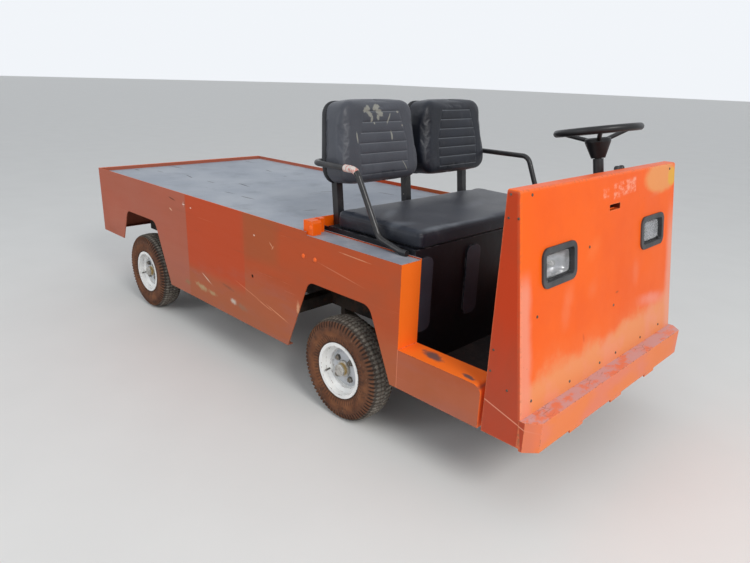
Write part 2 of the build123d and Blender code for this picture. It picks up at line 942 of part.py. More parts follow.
def floor_pan():
    """The footwell floor, wider where it enters the cowl."""
    z0, z1 = floor_top - plate, floor_top
    reach = pod_inner - seat_gap
    x_end = cowl_x(z1) - cowl_sheet - seat_gap * 2
    pan = block(x_kick - plate, x_end, -reach, reach, z0, z1)
    inside = cowl_block(cowl_sheet + seat_gap, sill_bottom, cowl_top, 0)
    wide = block(x_cowl_rear + sill_gap, x_end, -half, half, z0, z1) & inside
    return pan + wide


def cowl_block(inset, z0, z1, open_back):
    """The cowl's wedge with its bent edges, drawn in by an inset, between two heights."""
    sections = []
    for z in (z0, z1):
        x0 = x_cowl_rear - open_back
        x1 = cowl_x(z) - inset
        y = cowl_y(z) - inset
        plane = Plane(origin=((x0 + x1) / 2, 0, z))
        sections.append(plane * Rectangle(x1 - x0, 2 * y))
    wedge = loft(sections)
    top = wedge.faces().sort_by(Axis.Z)[-1].edges().sort_by(Axis.X)[1:]
    front = wedge.faces().sort_by(Axis.X)[-1].edges().sort_by(Axis.Y)
    return fillet(top + [front[0], front[-1]], cowl_bend - inset)


def headlight_plane(y):
    """The plane of the cowl's front face at a headlight."""
    normal = Vector(1, 0, cowl_slope)
    return Plane(origin=(cowl_x(lamp_z), y, lamp_z), x_dir=(0, 1, 0), z_dir=normal)


def tub_size():
    """The outside of a headlight's recessed tub."""
    return bezel_width - 2 * bezel_border, bezel_height - 2 * bezel_border


def cowl():
    """The folded front cowl: a leaning front, two sides, a top return and rear edge returns."""
    shell = cowl_block(0, sill_bottom, cowl_top, 0)
    shell -= cowl_block(cowl_sheet, sill_bottom - plate, cowl_top - cowl_sheet, plate)
    for side in (-1, 1):
        y1 = cowl_top_half_width - cowl_sheet - plate
        y0 = y1 - cowl_edge_return
        shell += block(
            x_cowl_rear, x_cowl_rear + cowl_sheet, min(side * y0, side * half),
            max(side * y0, side * half), sill_bottom, cowl_top - cowl_sheet / 2,
        ) & cowl_block(0, sill_bottom, cowl_top, 0)
    tub_w, tub_h = tub_size()
    for side in (-1, 1):
        plane = headlight_plane(side * lamp_y)
        hole = RectangleRounded(
            tub_w + 2 * hole_clearance, tub_h + 2 * hole_clearance, bezel_radius - bezel_border
        )
        shell -= extrude(plane * hole, amount=2 * cowl_sheet, both=True)
    slot = Plane(origin=(cowl_x(slot_z), slot_y, slot_z), x_dir=(0, 1, 0),
                 z_dir=Vector(1, 0, cowl_slope))
    pocket = Rectangle(slot_width + 2 * slot_wall, slot_height + 2 * slot_wall)
    shell += extrude(slot.offset(-cowl_sheet / 2) * pocket, amount=cowl_sheet / 2 - slot_depth)
    mouth = extrude(slot * Rectangle(slot_width, slot_height), amount=slot_wall - slot_depth)
    return shell - mouth


def headlight_bezel(side):
    """A recessed moulded bezel: proud rim, tub and a ledge for the lens."""
    plane = headlight_plane(side * lamp_y)
    tub_w, tub_h = tub_size()
    corner = bezel_radius - bezel_border
    rim_face = RectangleRounded(bezel_width, bezel_height, bezel_radius)
    tub = RectangleRounded(tub_w, tub_h, corner)
    mouth = RectangleRounded(tub_w - 2 * bezel_wall, tub_h - 2 * bezel_wall, corner - bezel_wall)
    step = lens_ledge + bezel_wall
    bowl = RectangleRounded(tub_w - 2 * step, tub_h - 2 * step, corner - bezel_wall)
    body = extrude(plane * rim_face, amount=bezel_flange)
    body += extrude(plane * tub, amount=-bezel_depth)
    lens_plane = plane.offset(-lens_step)
    body -= extrude(lens_plane * mouth, amount=lens_step + 2 * bezel_flange)
    return body - extrude(lens_plane * bowl, amount=-(bezel_depth - lens_step - bezel_wall))


def headlight_lens(side):
    """The clear lens on its ledge."""
    plane = headlight_plane(side * lamp_y).offset(-lens_step + seat_gap / 2)
    tub_w, tub_h = tub_size()
    rim = bezel_wall + seat_gap
    corner = bezel_radius - bezel_border - bezel_wall
    pane = RectangleRounded(tub_w - 2 * rim, tub_h - 2 * rim, corner)
    return extrude(plane * pane, amount=lens_thickness)


def front_bumper():
    """The folded bumper below the cowl, with cut-back corners."""
    x0 = x_cowl_foot - plate
    skins = []
    for inset in (0, bumper_sheet):
        front = x_front - inset
        side = half - inset
        corner = bumper_corner - inset * bumper_corner_inset
        outline = [
            (x0 - inset, -side), (x0 - inset, side), (front - corner, side), (front, side - corner),
            (front, corner - side), (front - corner, -side),
        ]
        plane = Plane.XY.offset(bumper_bottom + inset)
        height = bumper_top - bumper_bottom - 2 * inset
        skins.append(extrude(plane * make_face(Polyline(*outline, close=True)), amount=height))
    bumper = skins[0] - skins[1] - cowl_block(0, sill_bottom - 2 * plate, cowl_top, 0)
    for y in (-bumper_tab_spacing, 0, bumper_tab_spacing):
        bumper += block(
            x_front - 2 * bumper_sheet, x_front - bumper_sheet, y - bumper_tab_width / 2,
            y + bumper_tab_width / 2, bumper_bottom - bumper_tab_drop, bumper_bottom + bumper_sheet,
        )
    return bumper


def dash_panel():
    """The sloped instrument shelf behind the cowl's top."""
    z1 = cowl_top - cowl_sheet - seat_gap
    z0 = z1 - dash_drop
    y = cowl_top_half_width - dash_side_inset
    x0 = x_cowl_rear - dash_reach
    outline = [
        (x_cowl_rear + cowl_sheet + seat_gap, z1),
        (x_cowl_rear, z1 - dash_top_slope),
        (x0, z0 + dash_face_height),
        (x0, z0),
        (x_cowl_rear + cowl_sheet + seat_gap, z0),
    ]
    inner = [
        (x_cowl_rear + dash_mouth, z1 - dash_sheet),
        (x_cowl_rear + dash_sheet, z1 - dash_top_slope - dash_sheet),
        (x0 + dash_sheet, z0 + dash_face_height - dash_sheet / 2),
        (x0 + dash_sheet, z0 + dash_sheet),
        (x_cowl_rear + dash_mouth, z0 + dash_sheet),
    ]
    return prism_y(outline, -y, y) - prism_y(inner, dash_sheet - y, y - dash_sheet)


def steering_plane():
    """The plane of the steering wheel's grip ring."""
    tilt = radians(column_tilt)
    return Plane(
        origin=(wheel_centre_x, driver_y, wheel_centre_z),
        x_dir=(cos(tilt), 0, sin(tilt)), z_dir=(-sin(tilt), 0, cos(tilt)),
    )


def column_point(drop):
    """A point on the steering axis, a distance below the grip ring."""
    tilt = radians(column_tilt)
    return (
        wheel_centre_x + drop * sin(tilt), driver_y, wheel_centre_z - drop * cos(tilt)
    )


def steering_wheel():
    """Grip ring, spokes, a deep hub and the top of the shaft."""
    plane = steering_plane()
    ring = plane * Torus(wheel_ring_radius, wheel_grip_radius)
    hub_profile = [
        (0, -wheel_hub_drop),
        (wheel_hub_foot_radius, -wheel_hub_drop),
        (wheel_hub_top_radius, -wheel_hub_shoulder_drop),
        (wheel_hub_top_radius, -wheel_hub_top_drop - wheel_hub_chamfer),
        (wheel_hub_top_radius - wheel_hub_chamfer, -wheel_hub_top_drop),
        (0, -wheel_hub_top_drop),
    ]
    face = make_face(Polyline(*hub_profile, close=True))
    centre = revolve(Plane.XZ * face, axis=Axis.Z)
    shaft = rod((0, 0, -wheel_hub_drop - shaft_length), (0, 0, -wheel_hub_drop + 1), shaft_radius)
    spoke_mid = (wheel_hub_shoulder_drop + wheel_hub_top_drop) / 2
    wheel = centre + shaft
    for index in range(wheel_spoke_count):
        angle = 360 * index / wheel_spoke_count + 60
        spoke = rod(
            (wheel_hub_top_radius - wheel_spoke_inset, 0, -spoke_mid), (wheel_ring_radius, 0, 0),
            wheel_spoke_radius,
        )
        wheel += Rot(0, 0, angle) * spoke
    return plane * wheel + ring


def steering_column():
    """The fixed column tube, its floor flange and its bracket to the cowl."""
    drop = (wheel_centre_z - floor_top - column_flange_thickness) / cos(radians(column_tilt))
    foot = Vector(*column_point(drop))
    tube = rod(column_point(wheel_hub_drop + column_gap), tuple(foot), column_radius)
    flange = block(
        foot.X - column_flange_length / 2, foot.X + column_flange_length / 2,
        driver_y - column_flange_width / 2, driver_y + column_flange_width / 2,
        floor_top, floor_top + column_flange_thickness,
    )
    at = Vector(*column_point(column_bracket_drop))
    x_end = cowl_x(at.Z) - cowl_sheet - seat_gap * 2
    z_top = at.Z - column_bracket_offset
    bracket = block(
        at.X, x_end, driver_y - column_bracket_width / 2, driver_y + column_bracket_width / 2,
        z_top - column_bracket_sheet, z_top,
    )
    foot_plate = block(
        x_end - column_foot_thickness, x_end, driver_y - column_foot_width / 2,
        driver_y + column_foot_width / 2, z_top - column_foot_height, z_top,
    )
    bore_end = wheel_hub_drop + shaft_length + column_bore_end
    bore = rod(column_point(wheel_hub_drop), column_point(bore_end), column_bore)
    return tube + flange + bracket + foot_plate - bore


def pedals():
    """The brake and accelerator, each a pad on an arm from a floor block."""
    # Columns: y, pad width, pad length
    rows = (
        (brake_y, brake_pad_width, brake_pad_length),
        (throttle_y, throttle_pad_width, throttle_pad_length),
    )
    x = x_cowl_rear + pedal_inset
    x_pad = x - pedal_reach
    z_pad = floor_top + pedal_rise
    made = []
    for y, pad_width, pad_length in rows:
        base = block(
            x - pedal_base_length / 2, x + pedal_base_length / 2,
            y - pedal_base_width / 2, y + pedal_base_width / 2,
            floor_top, floor_top + pedal_base_height,
        )
        arm = rod((x, y, floor_top + pedal_pivot_height), (x_pad, y, z_pad), pedal_arm_radius)
        pad = Box(pedal_pad_thickness, pad_width, pad_length)
        made.append(base + arm + Pos(x_pad, y, z_pad) * Rot(0, -pedal_tilt, 0) * pad)
    return Compound(children=made)


def build():
    """Every node by name."""
    nodes = {
        "chassis_frame": chassis_frame(),
        "rear_panel": rear_panel(),
        "cargo_deck": cargo_deck(),
        "seat_bulkhead": seat_bulkhead(),
        "seat_box": seat_box(),
        "seat_cushion": seat_cushion(),
        "seat_posts": seat_posts(),
        "hip_rail": hip_rail(),
        "floor_pan": floor_pan(),
        "cowl": cowl(),
        "dash_panel": dash_panel(),
        "front_bumper": front_bumper(),
        "steering_column": steering_column(),
        "steering_wheel": steering_wheel(),
        "pedals": pedals(),
        "front_axle": front_axle(),
        "front_springs": Compound(children=[
            leaf_spring(x_front_axle, side * rail_y) for side in (-1, 1)
        ]),
        "rear_axle": rear_axle(),
        "rear_springs": Compound(children=[
            leaf_spring(x_rear_axle, side * rail_y) for side in (-1, 1)
        ]),
        "drive_motor": drive_motor(),
        "battery_pack": battery_pack(),
        "tie_rod": tie_rod(),
    }
    for name, left in (("side_body", side_body()), ("backrest", backrest()), ("knuckle", knuckle())):
        for side, piece in both_sides(left).items():
            nodes[f"{name}_{side}"] = piece
    for side_name, side in (("left", 1), ("right", -1)):
        nodes[f"headlight_bezel_{side_name}"] = headlight_bezel(side)
        nodes[f"headlight_lens_{side_name}"] = headlight_lens(side)
        for end_name, x in (("front", x_front_axle), ("rear", x_rear_axle)):
            nodes[f"rim_{end_name}_{side_name}"] = rim(x, side)
            nodes[f"tyre_{end_name}_{side_name}"] = tyre(x, side)
            nodes[f"hub_{end_name}_{side_name}"] = hub(x, side, end_name == "rear")
    return nodes


os.makedirs("parts", exist_ok=True)
for node_name, node_shape in build().items():
    export_step(node_shape, f"parts/{node_name}.step")
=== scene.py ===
"""Looks of the burden carrier: paint, wear, seat pads, tyres, lamps, bolts, light and camera."""
from math import cos, pi, radians, sin, sqrt
import bmesh
import bpy
from mathutils import Matrix, Vector, noise


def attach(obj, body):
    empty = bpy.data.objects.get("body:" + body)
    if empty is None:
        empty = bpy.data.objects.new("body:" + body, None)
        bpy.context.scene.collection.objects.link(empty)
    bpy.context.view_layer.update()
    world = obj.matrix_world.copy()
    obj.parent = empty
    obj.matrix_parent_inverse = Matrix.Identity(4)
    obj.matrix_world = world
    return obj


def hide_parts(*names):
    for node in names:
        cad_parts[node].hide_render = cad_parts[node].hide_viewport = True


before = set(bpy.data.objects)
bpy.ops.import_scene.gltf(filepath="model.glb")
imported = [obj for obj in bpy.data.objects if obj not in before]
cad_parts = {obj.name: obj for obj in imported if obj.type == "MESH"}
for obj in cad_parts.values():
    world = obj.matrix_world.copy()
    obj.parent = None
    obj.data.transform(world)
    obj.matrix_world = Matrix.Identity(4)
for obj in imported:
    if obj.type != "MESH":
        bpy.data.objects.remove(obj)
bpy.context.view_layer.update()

# Body sizes in metres, as the solids have them
HALF = 0.559
SIDES = {"left": 1, "right": -1}
SILL_BOTTOM = 0.265
BUMPER_TOP = 0.355
COWL_FOOT = 1.430
COWL_TOP = 1.005
COWL_TOP_FRONT = 1.342
COWL_TOP_HALF = 0.546
COWL_SLOPE = (COWL_FOOT - COWL_TOP_FRONT) / (COWL_TOP - BUMPER_TOP)
COWL_NORMAL = Vector((1, 0, COWL_SLOPE)).normalized()
SLOT_Y = 0.025
SLOT_HALF = 0.0386
SLOT_LOW = 0.8872
SLOT_HIGH = 0.9068
DECK_TOP = 0.702
KICK_FACE = 0.917
POD_FRONT = 0.945
SUNK = 0.0003

# Wheels and tyres
TRACK_HALF = 0.499
AXLE_Z = 0.207
AXLES = {"front": 0.635, "rear": -0.971}
LUG_COUNT = 72
LUG_STEPS = 6
SIDE_RIBS = 64
TREAD_GROOVES = (-0.0190, 0.0, 0.0190)

# Backrests: they lean back from the bulkhead, and pleats cross their faces
BED_FRONT = 0.436
BULKHEAD_TOP = 0.762
LEAN = radians(6)
BACK_CENTRE = 0.231
BACK_SWEEP = 0.045
PLEAT_COUNT = 7
PLEAT_FIRST = 0.150
PLEAT_PITCH = 0.0387
PLEAT_CENTRES = {"right": -0.222, "left": 0.240}
PLEAT_HALF = 0.131
PLEAT_WAIST = 0.270
PLEAT_TAPER = 0.30
SEAM_WIDTH = 0.0030
POST_DEPTH = 0.034
POST_HALF = 0.0158
PAD_VOXEL = 0.006
CLOTH_FRAMES = 20

# Dash, lamps and floor
DASH_TOP = (1.302, 0.994)
DASH_FALL = (0.052, 0.092)
DIAL_Y = 0.340
DIAL_FALL = 0.45
DIAL_TILT = 0.87
KNOB_YS = (0.152, 0.185)
LAMP_Y = 0.340
LAMP_Z = 0.772
LENS_HALF_X = 0.0815
LENS_HALF_Y = 0.0415
LENS_CORNER = 0.008
LENS_COLUMNS = 66
LENS_ROWS = 16
FLOOR_REACH = 80.0


# Places

def cowl_x(z):
    """The cowl's front face at a height."""
    return COWL_FOOT + (BUMPER_TOP - z) * COWL_SLOPE


def cowl_y(z):
    """The cowl's side face at a height."""
    return HALF - (z - SILL_BOTTOM) * (HALF - COWL_TOP_HALF) / (COWL_TOP - SILL_BOTTOM)


def leaning(forward, across, up):
    """A place in the frame that leans back from the bulkhead's top."""
    return Vector((
        BED_FRONT + forward * cos(LEAN) - up * sin(LEAN), across,
        BULKHEAD_TOP + forward * sin(LEAN) + up * cos(LEAN),
    ))


# Material tools

def srgb(red, green, blue):
    """A colour written as screen values, as the shader wants it."""
    def linear(value):
        value /= 255
        return value / 12.92 if value <= 0.04045 else ((value + 0.055) / 1.055) ** 2.4
    return linear(red), linear(green), linear(blue), 1.0


class Field:
    """A number or colour that varies over an object, with the sums a material needs of it."""

    def __init__(self, look, socket):
        self.look = look
        self.socket = socket

    def math(self, operation, other=0.0):
        """The outcome of one math node."""
        return self.look.field("ShaderNodeMath", {0: self, 1: other}, operation=operation)

    def __add__(self, other):
        return self.math("ADD", other)

    def __sub__(self, other):
        return self.math("SUBTRACT", other)

    def __rsub__(self, number):
        return self.math("MULTIPLY", -1.0) + number

    def __mul__(self, other):
        return self.math("MULTIPLY", other)

    def __or__(self, other):
        return self.math("MAXIMUM", other)

    def __abs__(self):
        return self.math("ABSOLUTE")

    def step(self, low, high):
        """0 to 1 as the number goes from low to high, smoothly."""
        return self.look.field("ShaderNodeMapRange", {0: self, 1: low, 2: high},
                               interpolation_type="SMOOTHSTEP")

    def band(self, low, high, soft):
        """1 where the number lies between low and high."""
        return self.step(low - soft, low + soft) * self.step(high + soft, high - soft)

    def span(self, low, high):
        """A 0 to 1 number spread between two others."""
        return self.look.field("ShaderNodeMapRange", {0: self, 3: low, 4: high})


class Look:
    """One procedural material: its shader, the fields it starts from and the colour so far."""

    def __init__(self, name, **fixed):
        self.material = bpy.data.materials.new(name)
        self.material.use_nodes = True
        self.tree = self.material.node_tree
        self.shader = self.tree.nodes["Principled BSDF"]
        for key, value in fixed.items():
            self.shader.inputs[key.replace("_", " ")].default_value = value
        self.place = self.field("ShaderNodeTexCoord", output="Object")
        self.normal = self.field("ShaderNodeNewGeometry", output="Normal")
        self.x, self.y, self.z = self.parts(self.place)
        self.normal_x, self.normal_y, self.normal_z = self.parts(self.normal)
        self.colour = None

    def node(self, kind, inputs=(), **settings):
        """A node with its settings, its inputs given as numbers or as fields."""
        made = self.tree.nodes.new(kind)
        for key, value in settings.items():
            setattr(made, key, value)
        for key, value in dict(inputs).items():
            if isinstance(value, Field):
                self.tree.links.new(value.socket, made.inputs[key])
            else:
                made.inputs[key].default_value = value
        return made

    def field(self, kind, inputs=(), output=0, **settings):
        """One output of a new node."""
        return Field(self, self.node(kind, inputs, **settings).outputs[output])

    def parts(self, vector):
        """The three parts of a vector."""
        made = self.node("ShaderNodeSeparateXYZ", {0: vector})
        return [Field(self, socket) for socket in made.outputs]

    def noise(self, scale, detail=4.0, rough=0.5, stretch=(1, 1, 1), shift=0.0, warp=0.0):
        """Fractal noise over the object, stretched along its axes."""
        vector = self.field("ShaderNodeMapping", {
            "Vector": self.place, "Scale": stretch, "Location": (shift, shift * 1.7, shift * 0.6),
        })
        return self.field("ShaderNodeTexNoise", {
            "Vector": vector, "Scale": scale, "Detail": detail, "Roughness": rough,
            "Distortion": warp,
        })

    def cells(self, scale, stretch=(1, 1, 1), feature="F1"):
        """Distances within Voronoi cells over the object."""
        vector = self.field("ShaderNodeMapping", {"Vector": self.place, "Scale": stretch})
        return self.field("ShaderNodeTexVoronoi", {"Vector": vector, "Scale": scale}, "Distance",
                          feature=feature)

    def spot(self, centre, size, turn, ragged, scale, soft):
        """1 inside a turned ellipsoid, with a soft and ragged edge."""
        vector = self.field("ShaderNodeMapping", {
            "Vector": self.place, "Location": centre, "Scale": size,
            "Rotation": [radians(angle) for angle in turn],
        }, vector_type="TEXTURE")
        reach = self.field("ShaderNodeVectorMath", {0: vector}, "Value", operation="LENGTH")
        reach = reach + (self.noise(scale, 6, 0.65) - 0.5) * ragged
        return reach.step(1.0 + soft / 2, 1.0 - soft)

    def edge(self, radius):
        """1 along the edges of a solid."""
        soft = self.field("ShaderNodeBevel", {"Radius": radius}, samples=4)
        turned = self.field("ShaderNodeVectorMath", {0: soft, 1: self.normal}, "Value",
                            operation="DISTANCE")
        return turned.step(0.02, 0.25)

    def mix(self, mask, first, second):
        """Two colours mixed by a mask, each a field or three screen values."""
        first, second = (srgb(*shade) if isinstance(shade, tuple) else shade
                         for shade in (first, second))
        return self.field("ShaderNodeMix", {0: mask, 6: first, 7: second}, 2, data_type="RGBA")

    def base(self, dark, light, low, high, *grain, **more):
        """The first colour: two shades that part where a noise lies between two numbers."""
        self.colour = self.mix(self.noise(*grain, **more).step(low, high), dark, light)

    def coat(self, mask, shade, strength=1.0):
        """Lays a colour over the colour so far, where a mask is."""
        self.colour = self.mix(mask * strength, self.colour, shade)

    def finish(self, rough=None, height=None, depth=0.001):
        """Feeds the shader with the colour, a roughness and a bumped height."""
        feeds = {"Base Color": self.colour}
        if rough is not None:
            feeds["Roughness"] = rough
        if height is not None:
            feeds["Normal"] = self.field("ShaderNodeBump", {"Height": height, "Distance": depth})
        for key, value in feeds.items():
            self.tree.links.new(value.socket, self.shader.inputs[key])
        return self.material


class WheelLook(Look):
    """A wheel's material: distance from its axle, turn round it and distance outwards."""

    def __init__(self, name, end, side_name, **fixed):
        super().__init__(f"{name} {end} {side_name}", **fixed)
        side = SIDES[side_name]
        dx, dz = self.x - AXLES[end], self.z - AXLE_Z
        self.radius = (dx * dx + dz * dz).math("SQRT")
        self.turn = dz.math("ARCTAN2", dx) * (1 / (2 * pi))
        self.out = (self.y - side * TRACK_HALF) * side


# Paints

def side_paint():
    """Orange paint on the body sides: rubbed, scratched, rusting through, dusty at the bottom;
    duller as painted shade, brighter as painted light on faces turned forward or up.
    """
    look = Look("side paint", Specular_IOR_Level=0.18)
    # The base orange is darker and duller than the front's: partly rubbed paint, partly painted
    # shade.
    tone = look.noise(3.0, 5, 0.55, (1, 1, 2))
    look.colour = look.mix(tone.step(0.35, 0.68), (186, 80, 40), (174, 82, 48))
    low = (look.z + (tone - 0.5) * 0.25).step(0.5, 0.34)
    look.coat(low, (174, 97, 64), 0.8)
    rear = look.x.step(-0.462, -0.47) * look.noise(4, 5, 0.6).span(0.45, 1.0)
    look.coat(rear, (176, 103, 84))
    red = look.x.band(-0.464, 0.03, 0.006) * look.z.step(0.33, 0.4)
    look.coat(red, (194, 74, 36), 0.85)
    dull = look.x.band(0.03, 0.27, 0.04) * look.z.step(0.5, 0.56)
    look.coat(dull, (168, 86, 48), 0.75)
    rub = look.noise(7, 7, 0.7, (0.35, 1, 3.2), 3.1)
    look.coat(rub.step(0.56, 0.76), (150, 84, 60), 0.45)
    streak = look.noise(26, 4, 0.6, (0.05, 1, 3.2), 7.7, 0.3)
    scratch = streak.step(0.675, 0.7) * look.noise(4, 3).step(0.46, 0.62)
    look.coat(scratch, (216, 136, 96), 0.45)
    mauve = look.noise(5, 6, 0.62, (0.5, 1, 1.6), 1.3).step(0.46, 0.68) * low
    look.coat(mauve, (166, 100, 86), 0.6)
    # Columns: X, Z, half length, half height, turn, colour, strength
    marks = [
        (-0.484, 0.668, 0.014, 0.0022, 0, (244, 232, 222), 0.9),
        (-0.484, 0.668, 0.0022, 0.012, 0, (244, 232, 222), 0.9),
        (-0.616, 0.622, 0.016, 0.004, 20, (232, 190, 160), 0.8),
        (-0.415, 0.662, 0.007, 0.003, 0, (240, 224, 210), 0.9),
        (-0.596, 0.678, 0.034, 0.004, 8, (92, 50, 32), 0.8),
        (-0.299, 0.340, 0.046, 0.0035, 24, (228, 200, 176), 0.8),
        (-0.350, 0.285, 0.050, 0.014, 6, (186, 172, 128), 0.7),
        (-0.252, 0.278, 0.034, 0.010, 6, (186, 172, 128), 0.6),
        (-0.071, 0.290, 0.026, 0.012, 0, (210, 204, 190), 0.85),
        (-0.003, 0.282, 0.046, 0.014, 8, (150, 112, 88), 0.7),
        (-0.489, 0.275, 0.030, 0.014, 0, (146, 122, 84), 0.7),
        (0.230, 0.619, 0.018, 0.003, 40, (220, 160, 124), 0.7),
        (0.240, 0.610, 0.012, 0.003, -50, (220, 160, 124), 0.6),
        (0.721, 0.680, 0.080, 0.0022, 2, (222, 160, 122), 0.6),
        (0.403, 0.400, 0.010, 0.028, 0, (226, 172, 132), 0.7),
        (0.263, 0.331, 0.080, 0.0026, 14, (230, 160, 120), 0.7),
        (0.176, 0.342, 0.060, 0.0022, 12, (228, 156, 118), 0.6),
        (0.060, 0.372, 0.110, 0.0022, 13, (226, 150, 112), 0.5),
        (-0.116, 0.347, 0.050, 0.008, 6, (136, 82, 60), 0.7),
        (0.645, 0.600, 0.120, 0.0022, 8, (220, 140, 104), 0.45),
        (0.110, 0.636, 0.006, 0.004, 0, (236, 214, 196), 0.8),
        (-1.28, 0.470, 0.14, 0.090, 0, (186, 112, 92), 0.35),
    ]
    # Columns: side, share of X, shift in X, noise scale, share of the strength
    sheets = [(-1, 1.0, 0.0, 60, 1.0), (1, 0.8, -0.1, 50, 0.8)]
    for x, z, length, height, turn, shade, strength in marks:
        ragged, soft = (2.2, 0.9) if height > 0.007 else (0.8, 0.5)
        for side, share, shift, scale, faded in sheets:
            mask = look.spot((x * share + shift, side * HALF, z), (length, 0.12, height),
                             (0, -side * turn, 0), ragged, scale, soft)
            look.coat(mask, shade, strength * faded)
    dust = look.z.step(0.36, 0.2) * look.noise(18, 6, 0.7).span(0.1, 0.9)
    look.coat(dust, (146, 106, 80), 0.4)
    # Painted light: faces turned forward or up near the nose are painted bright orange, as lit.
    upward = look.normal_z.step(0.7, 0.95)
    ends = look.normal_x.step(0.7, 0.95) | upward
    bright = ends * look.x.step(0.9, 0.93)
    look.coat(bright, (255, 120, 32), 0.95)
    # Painted light: the upward tops of the bed sides are painted a lighter orange, as lit.
    rim = upward * look.z.step(0.69, 0.7) * look.x.step(0.43, 0.425)
    look.coat(rim, (236, 108, 52), 0.8)
    strip = upward * look.x.band(0.44, 0.95, 0.004) * look.z.step(0.69, 0.7)
    grey = look.mix(look.noise(9, 6, 0.65).step(0.4, 0.7), (140, 145, 156), (164, 167, 174))
    look.coat(strip, grey)
    seam = look.x.band(POD_FRONT - 0.0008, POD_FRONT + 0.0012, 0.0008) * look.z.step(0.41, 0.405)
    look.coat(seam, (236, 150, 120), 0.7)
    sill_side = look.x.step(POD_FRONT, POD_FRONT + 0.004) * look.noise(5, 5, 0.6).step(0.35, 0.6)
    look.coat(sill_side * (look.z.step(0.404, 0.4) * 0.35), (186, 104, 78))
    for x, y, length, width in ((1.055, -0.503, 0.050, 0.022), (1.225, -0.534, 0.030, 0.010)):
        mask = look.spot((x, y, 0.407), (length, width, 0.02), (0, 0, -14), 1.6, 40, 0.5)
        look.coat(mask, (88, 82, 84), 0.9)
    chips = look.edge(0.004) * look.noise(60, 5, 0.7).step(0.5, 0.64)
    look.coat(chips, (120, 70, 48), 0.8)
    height = look.noise(2.2, 3) * 6.0 + scratch * -0.3 + look.noise(90, 3) * 0.12
    return look.finish(rub.span(0.45, 0.75), height, 0.0012)


